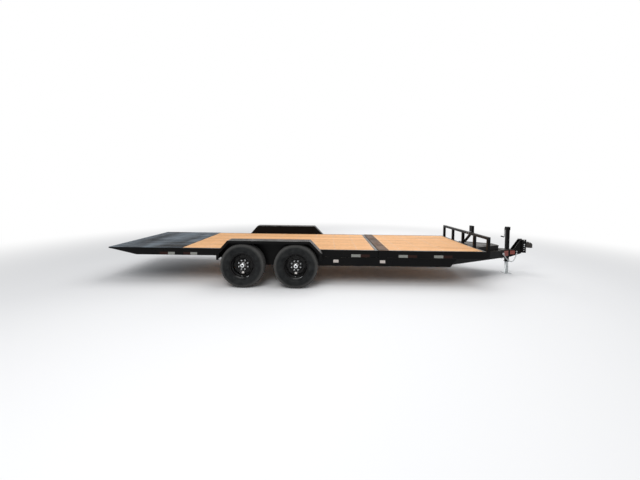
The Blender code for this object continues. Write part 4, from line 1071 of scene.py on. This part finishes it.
PIN_Z, PULL_R, PULL_Y = 0.283, 0.014, -0.075
SPRING_R, SPRING_PITCH, SPRING_FROM = 0.0105, 0.0032, -0.064
CORNER_BOLT, NIPPLE_Y, NIPPLE_DOWN, CAP_DOWN = 0.028, 0.012, 0.045, 0.035
fittings = bmesh.new()
tube(fittings, [(jack_x, -0.072, PIN_Z), (jack_x, -JACK_HALF, PIN_Z)], 0.0062, 10)
tube(fittings, circle(jack_x, SPRING_FROM, PIN_Z, SPRING_R, [pi * k / 6 for k in range(96)], SPRING_PITCH),
     0.0011, 5)
tube(fittings, circle(jack_x, PULL_Y, PIN_Z + PULL_R, PULL_R, even(18)), 0.0024, 6, closed=True)
for x in (-CORNER_BOLT, CORNER_BOLT):
    for y in (-CORNER_BOLT, CORNER_BOLT):
        bolt(fittings, (jack_x + x, y, jack_high.z), (0, 0, 1), 0.0050)
tube(fittings, [(jack_high.x + x, NIPPLE_Y, jack_high.z - NIPPLE_DOWN) for x in (-0.001, 0.010)],
     [0.0040, 0.0026], 8)
disc(fittings, (jack_x, jack_high.y, jack_high.z - CAP_DOWN), 0.016, 0.004, 20, axis=(0, 1, 0), tip=0.9)
piece("jack_fittings", fittings, zinc, "chassis")

COLLAR_HALF, COLLAR_BORE, COLLAR_Z = 0.041, 0.0322, (0.252, 0.262)
collar, bore = bmesh.new(), bmesh.new()
for shape, half, (z0, z1) in ((collar, COLLAR_HALF, COLLAR_Z), (bore, COLLAR_BORE, (0.20, 0.30))):
    box(shape, (jack_x - half, -half, z0), (jack_x + half, half, z1))
made = piece("jack_collar", collar, enamel, "chassis", bevel=0.002)
cut_from(made, mesh_of("collar_hole", bore))

GRIP_LONG, GRIP_RIDGE, GRIP_R = 0.104, 0.0052, (0.0122, 0.0135)
crank_low, crank_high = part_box("jack_crank")
grip_y = [crank_high.y - GRIP_LONG + GRIP_RIDGE * k for k in range(20)]
grip = bmesh.new()
tube(grip, [(crank_high.x - 0.008, y, crank_low.z + 0.008) for y in grip_y],
     [GRIP_R[k % 2] for k in range(20)], 16)
piece("crank_grip", grip, rubber, "chassis")


# The tongue toolbox is a folded sheet tub whose lid turns on a long hinge at its rear, with a
# round paddle lock in a dish on its front edge.
dress(enamel, 0.0012, "tongue_toolbox", "toolbox_lid")
LOCK_DISH = ((2, 0), (24, 0), (27, 1.2), (28.5, 3.4), (27, 4.0), (22, 2.0), (2, 1.6))     # mm
LOCK_BACK, RIVET_IN, RIVET_FIRST, RIVET_PITCH = 0.060, 0.0175, -0.34, 0.085
lid_low, lid_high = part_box("toolbox_lid")
lock = bmesh.new()
turn_round(lock, metres(LOCK_DISH), even(32))
lock_x = lid_high.x - LOCK_BACK
for vert in lock.verts:
    vert.co = Vector((lock_x + vert.co.x, vert.co.z, lid_high.z + vert.co.y))
tube(lock, [(lock_x - 0.016, 0, lid_high.z + 0.0035), (lock_x + 0.020, 0, lid_high.z + 0.0055)],
     [0.0065, 0.0045], 10)
disc(lock, (lock_x - 0.012, 0, lid_high.z + 0.002), 0.0085, 0.008, 20)
piece("lid_lock", lock, chrome, "toolbox_lid_body")

rivets = bmesh.new()
for k in range(9):
    spot = (lid_low.x + RIVET_IN, RIVET_FIRST + RIVET_PITCH * k, lid_high.z)
    disc(rivets, spot, 0.0042, 0.0018, 12, tip=0.6)
piece("lid_rivets", rivets, zinc, "toolbox_lid_body")

SWAGE_R = 0.0045         # the lid is stiffened by three pressed ribs
ribs = bmesh.new()
rear, front, top = lid_low.x + 0.060, lid_high.x - 0.10, lid_high.z - 0.0005
for start, end in (
    ((rear, 0.30, top), (front, 0.075, top)),
    ((rear, -0.30, top), (front, -0.075, top)),
    ((rear, 0.27, top), (rear, -0.27, top)),
):
    tube(ribs, [start, end], SWAGE_R, 10)
piece("lid_swages", ribs, enamel, "toolbox_lid_body")


# The tilting deck turns on a plated cross shaft in two thick ears. A gas-charged cushion
# cylinder slows it: black barrel with a screwed gland, and a chromed rod.
dress(enamel, 0.002, "pivot_ear_left", "pivot_ear_right", "cylinder_clevis", "cylinder_barrel")
dress(zinc, 0.0, "pivot_shaft")
dress(chrome, 0.001, "cylinder_rod")
shaft_low, shaft_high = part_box("pivot_shaft")
shaft_x, shaft_z = (shaft_low.x + shaft_high.x) / 2, (shaft_low.z + shaft_high.z) / 2
EAR_Y, COLLAR_OFF, COLLAR_R, COLLAR_HALF_Y = 0.870, 0.022, 0.029, 0.0045
collars, nipples = bmesh.new(), bmesh.new()
for sign in (1, -1):
    for y in (EAR_Y - COLLAR_OFF, EAR_Y + COLLAR_OFF):
        ends = [(shaft_x, sign * (y + d), shaft_z) for d in (-COLLAR_HALF_Y, COLLAR_HALF_Y)]
        tube(collars, ends, COLLAR_R, 24)
        bolt(collars, (shaft_x, sign * y, shaft_z + 0.028), (0, 0, 1), 0.0050)
    tube(nipples, [(shaft_x - d, sign * EAR_Y, shaft_z) for d in (0.034, 0.046)], [0.0042, 0.0026], 8)
piece("shaft_collars", collars, zinc, "chassis")
piece("ear_grease_nipples", nipples, zinc, "tilt_deck")

barrel_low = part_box("cylinder_barrel")[0]
base_pin = Vector((barrel_low.x + 0.026, 0, barrel_low.z + 0.026))
slope = Vector((0.730, 0, 0.068)).normalized()
GLAND = ((0.540, 0.0290), (0.545, 0.0312), (0.596, 0.0312), (0.601, 0.0290))     # along and radius
BASE_RING = ((0.048, 0.0285), (0.052, 0.0305), (0.074, 0.0305), (0.078, 0.0285))
ROD_BORE = ((0.30, 0.0152), (0.70, 0.0152))
NEEDLE_VALVE = ((0.026, 0.0085), (0.036, 0.0085), (0.037, 0.0060), (0.046, 0.0055))     # up and radius
rings, bore, valve = bmesh.new(), bmesh.new(), bmesh.new()
for shape, line in ((rings, GLAND), (rings, BASE_RING), (bore, ROD_BORE)):
    tube(shape, [base_pin + slope * s for s, _ in line], [r for _, r in line], 24)
made = piece("barrel_rings", rings, enamel, "cushion_barrel")
cut_from(made, mesh_of("gland_hole", bore))
root = base_pin + slope * 0.50
tube(valve, [root + Vector((0, 0, up)) for up, _ in NEEDLE_VALVE], [r for _, r in NEEDLE_VALVE], 12)
piece("needle_valve", valve, zinc, "cushion_barrel")


# The deck's latch is a plated steel spring bolt in a bracket under the joint, drawn back by a
# pull lever. Its spring is wound from bright wire.
dress(zinc, 0.001, "deck_latch")
latch_low, latch_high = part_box("deck_latch")
BOLT_DOWN, COIL_FROM, COIL_PITCH, COIL_R = 0.022, 0.034, 0.0056, 0.0150
coil = []
for a in [pi * k / 7 for k in range(140)]:
    x = latch_low.x + COIL_FROM + COIL_PITCH * a / 2 / pi
    coil.append((x, COIL_R * cos(a), latch_high.z - BOLT_DOWN + COIL_R * sin(a)))
spring = bmesh.new()
tube(spring, coil, 0.0016, 6)
piece("latch_spring", spring, zinc, "chassis")


# Reflective tape is stuck along both sides, silver and dark red in turn: prisms pressed in a
# plastic film under a clear one. They show as a fine honeycomb with darker seams.
TAPE_T, TAPE_Z = 0.0004, (0.516, 0.566)
CELL_M, SEAM_SHARE = 0.004, 0.12
tapes = {}
for name, light, dark in (
    ("silver_prism_tape", "#93948f", "#64655f"),
    ("red_prism_tape", "#2e1611", "#170a07"),
):
    made, tree, shader = new_finish(name, light, 0.28, specular=0.14)
    cells = add(tree, "TexVoronoi", feature="DISTANCE_TO_EDGE", values={"Scale": 1 / CELL_M},
                links={"Vector": add(tree, "TexCoord").outputs["Object"]})
    edge = add(tree, "MapRange", values={"From Max": SEAM_SHARE},
               links={"Value": cells.outputs["Distance"]})
    two_tones(tree, shader, dark, light, edge.outputs[0])
    tapes[name] = made

TAPES = (  # rear end, join and front end from the tail, the colours behind and ahead of the join
    (0.930, 1.085, 1.205, "red_prism_tape", "silver_prism_tape", "tilt_deck"),
    (1.360, 1.490, 1.612, "red_prism_tape", "silver_prism_tape", "tilt_deck"),
    (4.400, 4.565, 4.730, "silver_prism_tape", "red_prism_tape", "tilt_deck"),
    (5.250, 5.415, 5.580, "silver_prism_tape", "red_prism_tape", "chassis"),
    (5.885, 6.050, 6.215, "silver_prism_tape", "red_prism_tape", "chassis"),
)
for body in ("tilt_deck", "chassis"):
    for colour in tapes:
        strips = bmesh.new()
        for rear, join, front, rear_colour, front_colour, owner in TAPES:
            for a, b, shade in ((rear, join, rear_colour), (join, front, front_colour)):
                if shade == colour and owner == body:
                    for sign in (1, -1):
                        y = sign * tilt_high.y
                        box(strips, (from_tail(a), y, TAPE_Z[0]),
                            (from_tail(b), y + sign * TAPE_T, TAPE_Z[1]))
        piece(f"{colour}_{body}", strips, tapes[colour], body)


# Marker lamps stand on the main rails below the tape: a moulded lens with a row of diodes,
# pressed into a rubber base.
MARKER_X, MARKER_Z = (4.123, 4.960), 0.442
MARKER_HALF, MARKER_LIP = (0.048, 0.026), 0.006
MARKER_DIODE_PITCH, MARKER_FACE = 0.016, 0.0195

# Clear acrylic over a bright reflector looks almost white. The reflector is not built: the near-white base
# colour is a painted reflection.
lens_painted_reflector, tree, shader = new_finish("clear_lens_painted_reflection", "#bdb4ad", 0.12, coat=0.5)
two_tones(tree, shader, "#a59c95", "#cfc5be", blotches(tree, 0.010))
bases, lenses, bumps = bmesh.new(), bmesh.new(), bmesh.new()
for x in MARKER_X:
    x = from_tail(x)
    for sign in (1, -1):
        face = sign * rail_high.y
        for shape, grow, back, front in ((bases, MARKER_LIP, 0.0, 0.006), (lenses, 0.0, 0.005, 0.020)):
            half_x, half_z = MARKER_HALF[0] + grow, MARKER_HALF[1] + grow
            box(shape, (x - half_x, face + sign * back, MARKER_Z - half_z),
                (x + half_x, face + sign * front, MARKER_Z + half_z))
        for k in range(5):
            spot = (x + (k - 2) * MARKER_DIODE_PITCH, face + sign * MARKER_FACE, MARKER_Z)
            disc(bumps, spot, 0.0060, 0.0022, 12, axis=(0, sign, 0), tip=0.5)
piece("marker_bases", bases, rubber, "chassis", bevel=0.0025)
piece("marker_lenses", lenses, lens_painted_reflector, "chassis", bevel=0.006, segments=3)
piece("marker_lens_bumps", bumps, lens_painted_reflector, "chassis")


# Two plain red vinyl labels are stuck on the right tongue rail and on the nose. Cut from printed
# sheet on the real one, they are left blank here: satin, with a slightly uneven red.
vinyl, tree, shader = new_finish("red_vinyl_label", "#82372e", 0.38)
two_tones(tree, shader, "#7a3027", "#8c3e34", blotches(tree, 0.05, detail=2.0))
LABEL_T, LABEL_TOP = 0.0005, 0.494
RAIL_LABEL, RAIL_LABEL_FOOT = (7.668, 7.792), 0.384
NOSE_LABEL, NOSE_LABEL_FOOT, NOSE_HALF = (7.835, 7.935), 0.415, 0.0600
labels = bmesh.new()
rear, front = [from_tail(x) for x in RAIL_LABEL]
turned = Matrix.Rotation(TONGUE_LEAN, 4, "Z")
long = (front - rear) / cos(TONGUE_LEAN)
for vert in box(labels, (0, -LABEL_T, RAIL_LABEL_FOOT), (long, 0, LABEL_TOP)):
    vert.co = turned @ vert.co + Vector((rear, -tongue_face(rear), 0))
rear, front = [from_tail(x) for x in NOSE_LABEL]
box(labels, (rear, -NOSE_HALF - LABEL_T, NOSE_LABEL_FOOT), (front, -NOSE_HALF, LABEL_TOP))
piece("tongue_labels", labels, vinyl, "chassis")
